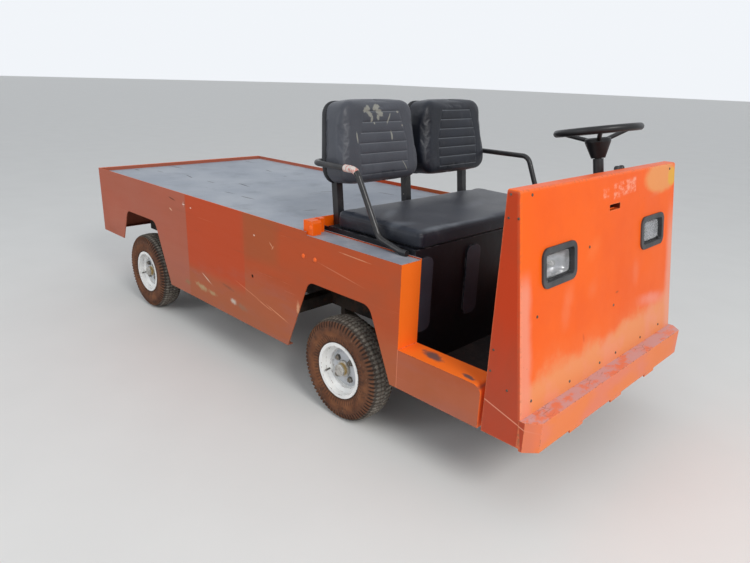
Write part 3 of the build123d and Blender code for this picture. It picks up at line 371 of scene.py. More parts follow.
def front_paint():
    """Brighter orange on the cowl and bumper, chalked pink at the edges and tan at the foot."""
    look = Look("front paint", Specular_IOR_Level=0.2)
    tone = look.noise(3.5, 5, 0.6)
    look.colour = look.mix(tone.step(0.35, 0.7), (246, 99, 6), (240, 93, 10))
    nose = look.x.step(1.18, 1.24)
    facing = look.normal_x.step(0.55, 0.8) * nose
    wave = (look.noise(5, 6, 0.62) - 0.5) * 0.16
    wave = wave + (look.noise(14, 5, 0.6, shift=4.0) - 0.5) * 0.045
    foot_line = look.z + look.y * -0.035 + wave
    halo = foot_line.step(0.56, 0.455) * facing
    look.coat(halo, (244, 126, 66), 0.35)
    foot = foot_line.step(0.5, 0.432) * facing
    look.coat(foot, (236, 150, 96), 0.9)
    pinker = look.noise(6, 5, 0.6, shift=6.0).step(0.46, 0.62) * foot
    look.coat(pinker, (238, 148, 118), 0.6)
    edge_y = look.y + wave * 0.25
    left = edge_y.step(-0.48, -0.52) * look.z.step(0.8, 0.72)
    look.coat(left * facing, (240, 146, 118), 0.85)
    right = edge_y.step(0.47, 0.525) * look.z.step(0.9, 0.7)
    look.coat(right * facing, (234, 158, 134), 0.8)
    # Columns: Y, Z, half width, half height, turn, colour, strength, raggedness
    patches = [
        (0.410, 0.962, 0.150, 0.060, 0, (232, 150, 84), 0.95, 0.25),
        (0.512, 0.956, 0.036, 0.036, 0, (224, 170, 48), 0.85, 0.7),
        (0.36, 0.905, 0.05, 0.010, 8, (236, 112, 62), 0.5, 0.9),
        (-0.12, 0.780, 0.05, 0.030, 30, (246, 122, 58), 0.4, 0.8),
        (-0.277, 0.660, 0.034, 0.040, 10, (244, 130, 84), 0.4, 0.9),
        (-0.299, 0.608, 0.030, 0.050, 0, (244, 132, 86), 0.35, 0.9),
        (0.210, 0.641, 0.030, 0.050, 0, (242, 128, 88), 0.4, 0.9),
        (0.360, 0.510, 0.120, 0.026, -8, (242, 146, 124), 0.75, 0.7),
        (-0.123, 0.649, 0.034, 0.030, 0, (244, 124, 72), 0.35, 0.9),
        (-0.18, 0.50, 0.006, 0.016, 15, (206, 74, 24), 0.5, 0.6),
        (0.060, 0.600, 0.012, 0.004, 0, (150, 64, 30), 0.6, 0.6),
    ]
    for y, z, width, height, turn, shade, strength, ragged in patches:
        soft = 0.25 if strength > 0.8 else 0.95
        mask = look.spot((cowl_x(z), y, z), (0.1, width, height), (turn, 0, 0), ragged, 26, soft)
        look.coat(mask * facing, shade, strength)
    # A rubbed place above the slot: pale ragged wear in two runs
    short_run = look.y.band(-0.062, -0.022, 0.004) * look.z.band(0.93, 0.962, 0.006)
    sloping = (look.z + look.y * -0.06).band(0.922, 0.97, 0.005)
    long_run = look.y.band(0.014, 0.186, 0.004) * sloping
    worn = look.noise(26, 7, 0.74, (1, 0.9, 1.6), 12.0).step(0.42, 0.62)
    look.coat((short_run | long_run) * worn * facing, (246, 178, 152), 0.62)
    # The side sheets: painted deeper red as shade, hazed mauve low down, chalked along the
    # bumper's top
    side = abs(look.normal_y).step(0.6, 0.9) * nose
    run = look.noise(9, 5, 0.6, (1, 1, 0.4)).step(0.4, 0.7)
    look.coat(side, look.mix(run, (188, 56, 18), (176, 58, 24)), 0.95)
    haze = look.z.step(0.7, 0.38) * look.noise(11, 6, 0.7).span(0.3, 1.0)
    look.coat(side * haze, (166, 80, 60), 0.7)
    seam_rise, seam_x = 0.3, 1.36
    seam = (look.z + (look.x - seam_x) * seam_rise).band(0.355, 0.3585, 0.0014)
    look.coat(seam * side, (232, 156, 128), 0.8)
    # The bumper: lilac peeling top, tan and pink front, bright cut-back corner
    low = look.z.step(0.362, 0.357)
    top = look.normal_z.step(0.7, 0.95) * look.x.step(1.36, 1.4)
    peel = look.noise(16, 7, 0.7, (1, 0.6, 1), 2.0).step(0.4, 0.52)
    top_colour = look.mix(peel, (228, 130, 96), (206, 160, 158))
    crack = look.cells(34, (1, 0.5, 1), "DISTANCE_TO_EDGE").step(0.03, 0.008)
    crack = crack * look.noise(7, 3, shift=3.0).step(0.5, 0.6)
    top_colour = look.mix(crack * 0.7, top_colour, (150, 92, 66))
    look.coat(top * low, top_colour)
    bumper = low * facing * look.x.step(1.46, 1.478)
    blotch = look.noise(6, 5, 0.6, (1, 0.7, 1.6), 5.0).step(0.38, 0.62)
    look.coat(bumper, look.mix(blotch, (238, 126, 62), (232, 124, 92)), 0.9)
    edge = look.edge(0.005)
    chips = edge * look.noise(70, 5, 0.7).step(0.48, 0.62)
    # Partly a painted highlight, partly rubbed paint: a pale line along every edge.
    look.coat(edge, (250, 150, 100), 0.35)
    look.coat(chips, (146, 92, 66), 0.85)
    flecks = look.cells(28).step(0.05, 0.025)
    flecks = flecks * look.noise(7, 2, shift=9.0).step(0.58, 0.66)
    look.coat(flecks, (128, 62, 34), 0.7)
    # The slot's inside is painted black as shade
    behind = (BUMPER_TOP - look.z) * COWL_SLOPE + COWL_FOOT - look.x
    slot = look.y.band(SLOT_Y - SLOT_HALF, SLOT_Y + SLOT_HALF, 0.0003)
    slot = slot * look.z.band(SLOT_LOW, SLOT_HIGH, 0.0003) * behind.band(0.0012, 0.024, 0.0004)
    look.coat(slot, (16, 15, 15))
    height = look.noise(2.5, 3) * 4.0 + look.noise(80, 3) * 0.1
    return look.finish(look.noise(8, 6, 0.65).span(0.32, 0.52), height, 0.0012)


def deck_paint():
    """Grey deck paint with scrapes down to dark steel and dust in its low places."""
    look = Look("deck paint", Specular_IOR_Level=0.25)
    tone = look.noise(2.4, 6, 0.6)
    look.colour = look.mix(tone.step(0.35, 0.68), (158, 165, 176), (176, 182, 190))
    stain = look.noise(6, 7, 0.65, shift=2.2)
    look.coat(stain.step(0.52, 0.72), (136, 141, 150), 0.45)
    line = look.noise(16, 3, 0.5, (0.6, 3.2, 1), 5.5, 0.6)
    scrape = line.step(0.72, 0.75) * look.noise(5, 3, shift=8.0).step(0.54, 0.64)
    # Columns: X, Y, half length, half width, turn of the deeper scrapes
    dashes = [
        (-1.39, -0.122, 0.085, 0.0050, 8), (-0.79, -0.227, 0.034, 0.0040, 3),
        (-0.46, -0.315, 0.046, 0.0035, 9), (-0.30, -0.315, 0.055, 0.0045, 5),
        (-0.61, -0.133, 0.066, 0.0040, -7), (-1.36, 0.400, 0.050, 0.0045, 1),
        (-1.41, -0.362, 0.030, 0.0060, 4), (-1.02, -0.230, 0.060, 0.0040, -12),
        (-0.96, 0.275, 0.045, 0.0040, -10), (-0.73, 0.231, 0.016, 0.0040, 10),
        (-1.27, -0.282, 0.038, 0.0035, 2), (-0.20, 0.120, 0.050, 0.0035, 60),
        (0.10, -0.250, 0.040, 0.0035, 75), (0.02, 0.330, 0.060, 0.0040, 6),
    ]
    for x, y, length, width, turn in dashes:
        size = (length, width, 0.05)
        scrape = scrape | look.spot((x, y, DECK_TOP), size, (0, 0, turn), 1.6, 70, 0.5)
    look.coat(scrape, (62, 56, 58), 0.9)
    pale = look.noise(19, 3, 0.5, (2.6, 0.4, 1), 1.5, 0.5)
    look.coat(pale.step(0.68, 0.73), (200, 203, 206), 0.5)
    chips = look.edge(0.004) * look.noise(60, 5, 0.7).step(0.45, 0.6)
    look.coat(chips, (110, 84, 70))
    rust = look.noise(9, 6, 0.7, shift=6.0).step(0.64, 0.76) * 0.4
    look.coat(rust, (130, 104, 88))
    # Painted shade: faces that look down, under the deck, are painted near black.
    look.coat(look.normal_z.step(0.0, -0.5), (46, 44, 44))
    height = look.noise(1.6, 3) * 8.0 + scrape * -0.4 + look.noise(120, 2) * 0.15
    return look.finish(stain.span(0.45, 0.7), height, 0.0012)


def kick_paint():
    """The seat base: navy-black enamel with scuffs low down, and ribs painted a lighter grey,
    partly rubbed and partly a painted highlight on their raised faces.
    """
    look = Look("seat base paint", Specular_IOR_Level=0.35)
    look.base((12, 13, 18), (20, 21, 28), 0.4, 0.7, 6, 5)
    scuff = look.noise(22, 6, 0.7, (1, 0.5, 2.0)).step(0.62, 0.7) * look.z.step(0.6, 0.3)
    look.coat(scuff, (86, 78, 76), 0.6)
    # Painted highlight and rubbing: the ribs' raised faces are painted a lighter grey.
    rib_rub_and_highlight = look.x.step(KICK_FACE + 0.0045, KICK_FACE + 0.0065) * look.noise(14, 5).span(0.5, 1.0)
    look.coat(rib_rub_and_highlight, (66, 68, 80), 0.9)
    edge = look.edge(0.006) * look.noise(40, 5).step(0.44, 0.58)
    look.coat(edge, (92, 90, 94), 0.6)
    return look.finish(look.noise(12, 5).span(0.3, 0.5), look.noise(40, 4), 0.0006)


def footwell_shade_paint():
    """Worn black tread paint on the footwell floor, its near-black partly painted shade of the
    footwell, orange showing at its worn places.
    """
    look = Look("floor paint", Specular_IOR_Level=0.25)
    # Painted shade: the floor's near-black base stands partly for the footwell's shade.
    look.base((30, 25, 25), (52, 43, 41), 0.4, 0.7, 7, 6, 0.65)
    worn = look.noise(12, 7, 0.7, shift=5.0).step(0.6, 0.68)
    look.coat(worn, (128, 58, 34), 0.6)
    mud = look.noise(26, 6, 0.7, shift=2.0).step(0.56, 0.74)
    look.coat(mud, (98, 84, 74), 0.5)
    return look.finish(look.noise(20, 5).span(0.55, 0.85), look.noise(60, 5, 0.7), 0.0008)


def black_enamel():
    """Black enamel, chipped and dusty."""
    look = Look("rail enamel", Specular_IOR_Level=0.5)
    look.base((20, 21, 24), (34, 35, 39), 0.4, 0.7, 9, 5)
    dust = look.noise(12, 7, 0.7).step(0.4, 0.72) * 0.15
    look.coat(dust, (112, 104, 96))
    chips = look.noise(75, 4, 0.6, shift=3.0).step(0.7, 0.74)
    look.coat(chips, (178, 172, 164), 0.8)
    return look.finish(look.noise(14, 5).span(0.22, 0.42), look.noise(70, 4), 0.0004)


def chassis_dirt():
    """Old black chassis paint under road dust and rust."""
    look = Look("chassis dirt", Specular_IOR_Level=0.3)
    look.base((38, 36, 35), (70, 60, 52), 0.4, 0.65, 8, 6, 0.65)
    rust = look.noise(13, 7, 0.7, shift=4.0).step(0.52, 0.7)
    look.coat(rust, (110, 68, 44), 0.7)
    up = look.normal_z.step(0.4, 1.0) * 0.6
    look.coat(up, (120, 108, 94))
    return look.finish(look.noise(20, 5).span(0.6, 0.9), look.noise(60, 6, 0.7), 0.001)


# Vinyl, plastic, metal and glass

def vinyl(name, worn):
    """Dark seat vinyl: fine leather grain, dusty folds, pale rubbed places."""
    look = Look(name, Specular_IOR_Level=0.35, Sheen_Weight=0.08, Sheen_Roughness=0.4)
    tone = look.noise(7, 5, 0.6)
    look.colour = look.mix(tone.step(0.35, 0.7), (20, 23, 32), (28, 33, 44))
    dust = look.normal_z.step(0.5, 1.0) * look.noise(6, 6, 0.65).span(0.0, 0.4)
    look.coat(dust, (58, 65, 80))
    rub = look.noise(4.5, 6, 0.7, (1, 1.8, 1), 3.0).step(0.54, 0.74) * worn
    look.coat(rub, (98, 102, 110))
    height = look.cells(420) * 0.35 + look.noise(60, 4, 0.6, shift=2.0, warp=0.8) * 0.5
    return look, tone.span(0.34, 0.5), height


def backrest_vinyl():
    """Backrest vinyl: dusty stitched lines, and the right one is peeling and painted a lighter
    grey, partly dust and partly painted light, as a lit copy of the shaded left one.
    """
    look, rough, height = vinyl("backrest vinyl", 0.25)
    right = look.y.step(0.0, -0.002)
    # Painted light and dust: the right backrest is painted a lighter grey than the left.
    greyer_dust_and_light = right * look.noise(5, 5, 0.6).span(0.35, 0.8)
    look.coat(greyer_dust_and_light, (88, 91, 99))
    # Height along the leaning back, and the distance across from the middle of the pleats
    up = (look.z - BULKHEAD_TOP) * cos(LEAN) + (BED_FRONT - look.x) * sin(LEAN)
    middle = right.span(PLEAT_CENTRES["left"], PLEAT_CENTRES["right"])
    across = abs(look.y - middle)
    taper = ((up - PLEAT_WAIST) | 0.0) * PLEAT_TAPER
    margin = PLEAT_HALF - across - taper
    near_line = (up - PLEAT_FIRST).math("PINGPONG", PLEAT_PITCH / 2)
    line = near_line.step(0.0022, 0.001) * margin.step(-0.001, 0.002)
    line = line * up.band(PLEAT_FIRST - 0.01, PLEAT_FIRST + PLEAT_PITCH * 6.2, 0.002)
    line = line * look.normal_x.step(0.7, 0.85) * look.noise(30, 4, 0.6).span(0.35, 1.0)
    look.coat(line, (122, 128, 134), 0.75)
    # Columns: Y, height along the back, half width, half height, turn, raggedness
    peels = [
        (-0.303, 0.392, 0.020, 0.010, 20, 2.2),
        (-0.290, 0.374, 0.016, 0.010, -30, 2.2),
        (-0.280, 0.356, 0.006, 0.014, -20, 1.8),
        (-0.250, 0.397, 0.020, 0.011, 10, 2.2),
        (-0.238, 0.380, 0.022, 0.013, -30, 2.2),
        (-0.248, 0.362, 0.007, 0.014, 10, 1.8),
        (-0.268, 0.340, 0.004, 0.005, 0, 1.2),
        (-0.190, 0.354, 0.004, 0.024, -28, 1.2),
        (-0.178, 0.293, 0.005, 0.020, 4, 1.4),
        (-0.363, 0.290, 0.0035, 0.022, 6, 1.2),
        (-0.137, 0.380, 0.006, 0.005, 0, 1.4),
        (-0.115, 0.328, 0.005, 0.004, -30, 1.2),
        (-0.112, 0.173, 0.0022, 0.024, 32, 0.9),
    ]
    for y, tall, width, length, turn, ragged in peels:
        place = leaning(0.115 - BACK_SWEEP * (tall - PLEAT_FIRST), y, tall)
        mask = look.spot(place, (0.06, width, length), (turn, 0, 0), ragged, 70, 0.3)
        look.coat(mask, (142, 142, 134), 0.9)
    return look.finish(rough, height, 0.0006)


def seat_vinyl():
    """Seat vinyl with the pale smears of long use."""
    look, rough, height = vinyl("seat vinyl", 0.3)
    # Columns: X, Y, half length, half width, turn, strength
    smears = [
        (0.66, -0.323, 0.020, 0.075, 35, 0.4),
        (0.80, -0.400, 0.030, 0.050, -30, 0.5),
        (0.90, -0.350, 0.014, 0.070, 4, 0.6),
        (0.906, -0.250, 0.010, 0.060, 0, 0.5),
        (0.905, -0.10, 0.008, 0.12, 0, 0.35),
        (0.74, 0.10, 0.030, 0.12, 20, 0.25),
    ]
    for x, y, length, width, turn, strength in smears:
        mask = look.spot((x, y, 0.79), (length, width, 0.05), (0, 0, turn), 1.6, 18, 0.8)
        look.coat(mask, (104, 110, 118), strength)
    return look.finish(rough, height, 0.0006)


def moulded(name, dark, light, rough, grain=220, depth=0.0004):
    """Moulded plastic or rubber with a fine grain."""
    look = Look(name, Specular_IOR_Level=0.4)
    look.base(dark, light, 0.35, 0.7, 12, 6, 0.6)
    return look.finish(look.noise(20, 5).span(*rough), look.cells(grain), depth)


def bare_metal(name, dark, light, rough=(0.25, 0.5)):
    """Plated or bare metal, stained."""
    look = Look(name, Metallic=0.9)
    look.base(dark, light, 0.35, 0.7, 60, 6, 0.7)
    return look.finish(look.noise(80, 4).span(*rough), look.noise(160, 3), 0.0002)


def reflector_look():
    """A lamp's reflector: pale below and brown above."""
    look = Look("reflector chrome", Metallic=0.55)
    rise = look.z - LAMP_Z + (look.noise(30, 4) - 0.5) * 0.02
    bright = look.mix(look.noise(40, 4).step(0.4, 0.7), (226, 226, 226), (200, 202, 204))
    brown = look.mix(look.noise(30, 5, 0.6, shift=3.0).step(0.4, 0.7), (112, 90, 78), (84, 76, 74))
    look.colour = look.mix(rise.step(0.002, 0.02), bright, brown)
    return look.finish(look.noise(80, 4).span(0.08, 0.25), look.noise(160, 3), 0.0002)


def glass_look(name, tint, rough):
    """Clear glass for lamps."""
    look = Look(name, Transmission_Weight=1.0, IOR=1.45)
    look.base(tint, (226, 224, 216), 0.5, 0.8, 30, 6, 0.7)
    return look.finish(look.noise(40, 5).span(*rough), look.noise(160, 3), 0.0001)


def dial_look():
    """A charge gauge's pale dial: a ring of ticks, a needle and a red end."""
    look = Look("dial", Specular_IOR_Level=0.6, Roughness=0.15)
    across = look.y - DIAL_Y
    along = (look.z - (DASH_TOP[1] - DASH_FALL[1] * DIAL_FALL)) * (1 / DIAL_TILT)
    radius = (across * across + along * along).math("SQRT")
    turn = along.math("ARCTAN2", across) * (1 / (2 * pi))
    ticks = turn.math("PINGPONG", 0.025).step(0.004, 0.002) * along.step(-0.004, -0.002)
    ticks = ticks * radius.band(0.017, 0.022, 0.0005)
    look.colour = look.mix(ticks, (226, 224, 214), (26, 26, 28))
    end = radius.band(0.0185, 0.022, 0.0005) * turn.band(0.0, 0.08, 0.004)
    look.coat(end, (180, 40, 30))
    needle = abs(turn - 0.33).step(0.01, 0.006) * radius.step(0.018, 0.017)
    look.coat(needle | radius.step(0.004, 0.003), (30, 28, 28))
    return look.finish()


def tape_look():
    """Faded pink and white cloth tape."""
    look = Look("tape", Specular_IOR_Level=0.3)
    band = look.noise(60, 3, 0.5, (2.5, 1, 1)).step(0.45, 0.6)
    look.colour = look.mix(band, (214, 206, 200), (206, 138, 128))
    return look.finish(look.noise(50).span(0.6, 0.9), look.cells(700), 0.0004)


# Wheel materials

def tyre_look(end, side_name):
    """Brown muddy sidewalls with dark lug cuts, and a grey dusty tread."""
    look = WheelLook("tyre", end, side_name, Specular_IOR_Level=0.2)
    radius, turn = look.radius, look.turn
    look.base((98, 62, 44), (132, 86, 58), 0.38, 0.66, 9, 6, 0.6)
    look.coat(radius.step(0.15, 0.172), (84, 62, 52), 0.35)
    dark = look.noise(26, 7, 0.72, shift=2.0).step(0.46, 0.68)
    look.coat(dark, (52, 42, 38), 0.7)
    pale = look.noise(60, 6, 0.7, shift=7.0).step(0.58, 0.72)
    look.coat(pale, (152, 122, 100), 0.45)
    ribs = (turn * SIDE_RIBS).math("FRACT").band(0.2, 0.6, 0.08)
    look.coat(ribs * radius.band(0.12, 0.138, 0.004), (44, 38, 36), 0.5)
    look.coat(radius.step(0.124, 0.114), (40, 36, 35), 0.7)
    phase = (turn * LUG_COUNT + look.out.step(0.0, -0.0005) * 0.5).math("FRACT")
    cut = (phase.step(0.42, 0.34) | phase.step(0.93, 0.99)) * radius.step(0.168, 0.18)
    look.coat(cut, (40, 35, 33), 0.85)
    tread = look.mix(look.noise(40, 6, 0.7).step(0.4, 0.65), (112, 106, 98), (148, 142, 132))
    uneven = radius + (look.noise(30, 4) - 0.5) * 0.006
    on_tread = uneven.step(0.193, 0.201) * (1.0 - cut * 0.6)
    look.coat(on_tread, tread)
    groove = on_tread * radius.step(0.2035, 0.2005)
    look.coat(groove, (50, 44, 41), 0.85)
    return look.finish(look.noise(25, 4).span(0.72, 0.95), look.noise(110, 5, 0.7), 0.0009)


def rim_look(end, side_name):
    """White enamel rim, chipped and streaked with rust and grease."""
    look = WheelLook("rim", end, side_name, Specular_IOR_Level=0.5)
    look.base((242, 242, 240), (226, 227, 226), 0.4, 0.7, 14, 5)
    grime = look.noise(26, 7, 0.7, shift=3.0).step(0.52, 0.7) * look.radius.step(0.095, 0.05)
    look.coat(grime, (104, 108, 118), 0.7)
    # Painted shade and grey paint: the dished centre is painted bluish grey.
    disc_grey_and_shade = look.radius.step(0.08, 0.072) * look.out.step(0.022, 0.016)
    look.coat(disc_grey_and_shade, (140, 148, 162), 0.55)
    rust = look.noise(48, 6, 0.7, shift=6.0).step(0.65, 0.72)
    look.coat(rust, (132, 84, 54), 0.8)
    chips = look.edge(0.003) * look.noise(90, 4).step(0.52, 0.62)
    look.coat(chips, (112, 78, 58))
    return look.finish(look.noise(30, 4).span(0.25, 0.5), look.noise(60, 4), 0.0004)


def hub_look(end, side_name):
    """Dull steel hub with a bright grease cap and a brassy ring behind it."""
    look = WheelLook("hub", end, side_name, Metallic=0.6)
    out = look.out
    look.base((196, 194, 188), (160, 156, 150), 0.4, 0.65, 40, 6, 0.7)
    ring = out.band(0.026, 0.038, 0.001) * look.radius.step(0.022, 0.0235)
    look.coat(ring, (196, 164, 96), 0.85)
    grease = look.noise(30, 6, 0.7, shift=5.0).step(0.46, 0.62) * out.step(0.03, 0.01)
    look.coat(grease, (38, 35, 35), 0.9)
    pits = look.cells(110).step(0.16, 0.1) * out.step(0.04, 0.044)
    look.coat(pits, (50, 46, 44), 0.8)
    return look.finish(look.noise(50, 5).span(0.3, 0.6), look.noise(90, 5), 0.0004)


# Mesh tools

def mesh_piece(name, bm, body, material, smooth=True):
    """A finished mesh in the row frame, riding on its body."""
    mesh = bpy.data.meshes.new(name)
    bmesh.ops.recalc_face_normals(bm, faces=bm.faces)
    bm.to_mesh(mesh)
    bm.free()
    piece = bpy.data.objects.new(name, mesh)
    bpy.context.scene.collection.objects.link(piece)
    mesh.materials.append(material)
    if smooth:
        for face in mesh.polygons:
            face.use_smooth = True
    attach(piece, body)
    return piece


def skin(bm, rows, closed=True, caps=()):
    """Faces between neighbouring rows of vertices, with caps over the rows named."""
    for low, high in zip(rows, rows[1:]):
        for index in range(len(low) if closed else len(low) - 1):
            after = (index + 1) % len(low)
            bm.faces.new((low[index], low[after], high[after], high[index]))
    for row in caps:
        bm.faces.new(rows[row])


def add_turned(bm, profile, matrix, steps):
    """A profile of (radius, height) turned about a local Z axis, closed where the radius is 0."""
    rings = []
    for radius, height in profile:
        count = steps if radius else 1
        rings.append([
            bm.verts.new(matrix @ Vector((radius * cos(angle), radius * sin(angle), height)))
            for angle in (2 * pi * index / steps for index in range(count))
        ])
    for low, high in zip(rings, rings[1:]):
        for index in range(steps):
            corners = dict.fromkeys((
                low[index % len(low)], low[(index + 1) % len(low)],
                high[(index + 1) % len(high)], high[index % len(high)],
            ))
            if len(corners) > 2:
                bm.faces.new(list(corners))


def pointing(place, direction):
    """A frame at a place with its Z axis along a direction."""
    turn = Vector(direction).to_track_quat("Z", "Y").to_matrix().to_4x4()
    return Matrix.Translation(Vector(place)) @ turn


def turned_piece(name, body, material, fitted, smooth=True):
    """A piece of turned parts. Columns of the parts: profile, place, direction, steps."""
    bm = bmesh.new()
    for profile, place, direction, steps in fitted:
        add_turned(bm, profile, pointing(place, direction), steps)
    mesh_piece(name, bm, body, material, smooth)


def clamp(value):
    """A number held between 0 and 1."""
    return max(0.0, min(1.0, value))


def ridge(distance):
    """1 on a seam's line, falling off with the distance from it."""
    return 1 / (1 + distance * distance)


# Seat pads

def corners(points):
    """Each corner of an outline, with the unit edges that reach it and leave it."""
    points = [Vector(point) for point in points]
    for before, here, after in zip(points[-1:] + points[:-1], points, points[1:] + points[:1]):
        yield here, (here - before).normalized(), (after - here).normalized()


def inset_outline(points, amount):
    """A convex outline with every edge moved inwards."""
    moved = []
    for here, first, second in corners(points):
        normals = [Vector((-edge.y, edge.x)) for edge in (first, second)]
        bisector = (normals[0] + normals[1]) / (1 + normals[0].dot(normals[1]))
        moved.append(here + bisector * amount)
    return moved


def round_outline(points, radius):
    """A convex anticlockwise outline with rounded corners."""
    made = []
    steps = 8
    for here, first, second in corners(points):
        half_angle = (-first).angle(second) / 2
        reach = radius / sin(half_angle) * cos(half_angle)
        centre = here + (second - first).normalized() * radius / sin(half_angle)
        start, end = here - first * reach - centre, here + second * reach - centre
        made += [centre + start.slerp(end, step / steps) * radius for step in range(steps + 1)]
    return made


def pad_form(outline, radius, depth, edge, to_space):
    """A closed pad: an outline raised by a depth, its far edge rounded."""
    bm = bmesh.new()
    arc_steps = 5
    levels = [(0.0, 0.0)]
    for step in range(arc_steps + 1):
        angle = pi / 2 * step / arc_steps
        levels.append((edge * (1 - cos(angle)), depth - edge + edge * sin(angle)))
    rings = []
    for inward, height in levels:
        rounded = round_outline(inset_outline(outline, inward), max(radius - inward, 0.004))
        rings.append([bm.verts.new(to_space(point, height)) for point in rounded])
    skin(bm, rings, caps=(0, -1))
    return bm


def evaluated(piece):
    """A piece with its modifiers worked out."""
    return piece.evaluated_get(bpy.context.evaluated_depsgraph_get())


def press(piece, cap, pressure):
    """Lets cloth pressure swell a pad, each point held within the cap."""
    start = [vertex.co.copy() for vertex in piece.data.vertices]
    cloth = piece.modifiers.new("cloth", "CLOTH").settings
    cloth.use_pressure = True
    cloth.uniform_pressure_force = pressure
    cloth.effector_weights.gravity = 0
    cloth.tension_stiffness = 40
    cloth.compression_stiffness = 40
    cloth.bending_stiffness = 2
    for frame_number in range(1, CLOTH_FRAMES + 1):
        bpy.context.scene.frame_set(frame_number)
    swollen = [vertex.co.copy() for vertex in evaluated(piece).data.vertices]
    piece.modifiers.clear()
    bpy.context.scene.frame_set(1)
    for vertex, before, after in zip(piece.data.vertices, start, swollen):
        move = after - before
        if move.length > cap:
            move *= cap / move.length
        vertex.co = before + move


def swell(piece, cap, pressure):
    """Remeshes a pad evenly, swells it as cloth and smooths it."""
    remesh = piece.modifiers.new("voxels", "REMESH")
    remesh.mode = "VOXEL"
    remesh.voxel_size = PAD_VOXEL
    piece.modifiers.new("smooth", "SMOOTH").iterations = 4
    even = bpy.data.meshes.new_from_object(evaluated(piece))
    piece.modifiers.clear()
    material = piece.data.materials[0]
    piece.data = even
    if not even.materials:
        even.materials.append(material)
    press(piece, cap, pressure)
    bm = bmesh.new()
    bm.from_mesh(piece.data)
    bmesh.ops.subdivide_edges(bm, edges=bm.edges, cuts=1, use_grid_fill=True, smooth=0.0)
    for _ in range(3):
        bmesh.ops.smooth_vert(bm, verts=bm.verts, factor=0.5, use_axis_x=True, use_axis_y=True,
                              use_axis_z=True)
    bm.normal_update()
    bm.to_mesh(piece.data)
    bm.free()
    for face in piece.data.polygons:
        face.use_smooth = True


def seat_cushion(material):
    """The bench cushion: a boxed pad with a flat top, a little lower at its front."""
    rear, front, half_width = 0.498, 0.925, 0.451
    base, height = 0.7325, 0.058
    outline = [(rear, -half_width), (front, -half_width), (front, half_width), (rear, half_width)]

    def place(point, rise):
        forward = (point[0] - rear) / (front - rear)
        return point[0], point[1], base + rise * (1.04 - 0.08 * forward)

    bm = pad_form(outline, 0.024, height, 0.012, place)
    piece = mesh_piece("seat_cushion_cover", bm, "chassis", material)
    swell(piece, 0.005, 3.0)
    for vertex in piece.data.vertices:
        point = vertex.co
        point.z = max(point.z, base)
        upper = clamp((point.z - base) / height)
        wrinkle = noise.noise(Vector((point.x * 9, point.y * 5, point.z * 14)))
        point.z += 0.0020 * wrinkle * upper
        seam = 0.0012 * ridge((point.z - base - height * 0.80) / 0.0025)
        if point.x > front - 0.02:
            point.x -= seam
        if abs(point.y) > half_width - 0.02:
            point.y -= seam if point.y > 0 else -seam
    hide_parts("seat_cushion")


def back_outline(centre, margin):
    """A backrest's outline in the leaning frame, drawn in by a margin."""
    wide, narrow = 0.215 - margin, 0.188 - margin
    low, waist, top = 0.120 + margin, 0.212, 0.428 - margin
    return [
        (centre - wide, low), (centre + wide, low), (centre + wide, waist),
        (centre + narrow, top), (centre - narrow, top), (centre - wide, waist),
    ]


def back_sweep(up):
    """How far a backrest's upper part lies further back than its posts."""
    return BACK_SWEEP * max(0.0, up - PLEAT_FIRST)


def backrest(side_name, material):
    """One backrest: narrower at its top, with sewn cross pleats on its face."""
    side = SIDES[side_name]
    rear, depth = 0.012, 0.101
    bm = pad_form(
        back_outline(side * BACK_CENTRE, 0.001), 0.056, depth, 0.024,
        lambda point, rise: leaning(rear + rise - back_sweep(point[1]), point[0], point[1]))
    piece = mesh_piece(f"backrest_{side_name}_cover", bm, "chassis", material)
    swell(piece, 0.004, 1.2)
    corner = leaning(0, 0, 0)
    ahead, upward = leaning(1, 0, 0) - corner, leaning(0, 0, 1) - corner
    facing = [vertex.normal.dot(ahead) for vertex in piece.data.vertices]
    pleat_last = PLEAT_FIRST + PLEAT_PITCH * (PLEAT_COUNT - 1)
    for vertex, forward in zip(piece.data.vertices, facing):
        place = vertex.co - corner
        up = place.dot(upward)
        behind = rear - back_sweep(up) - place.dot(ahead)
        if behind > 0:
            vertex.co += ahead * behind
        if place.dot(ahead) < POST_DEPTH:
            vertex.co.y = side * max(side * vertex.co.y, POST_HALF)
        across = abs(vertex.co.y - PLEAT_CENTRES[side_name])
        half = PLEAT_HALF - max(0.0, up - PLEAT_WAIST) * PLEAT_TAPER
        phase = (up - PLEAT_FIRST) / PLEAT_PITCH
        nearest = max(0, min(PLEAT_COUNT - 1, round(phase)))
        within = PLEAT_FIRST < up < pleat_last
        groove = 0.0022 * ridge((phase - nearest) * PLEAT_PITCH / SEAM_WIDTH)
        puff = 0.0010 * abs(sin(phase * pi)) * within
        seam = 0.0006 * ridge((across - half) / SEAM_WIDTH) * within
        pleated = clamp((half - across) / 0.008) * (puff - groove)
        vertex.co += ahead * clamp((forward - 0.75) / 0.15) * (pleated - seam)
    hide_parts(f"backrest_{side_name}")


def backrest_shell(side_name, material):
    """The moulded back shell behind a backrest's padding."""
    front, depth = 0.0115, 0.020
    bm = pad_form(
        back_outline(SIDES[side_name] * BACK_CENTRE, 0.0), 0.058, depth, 0.012,
        lambda point, rise: leaning(front - rise - back_sweep(point[1]), point[0], point[1]))
    mesh_piece(f"backrest_{side_name}_shell", bm, "chassis", material)


# Wheels and fasteners

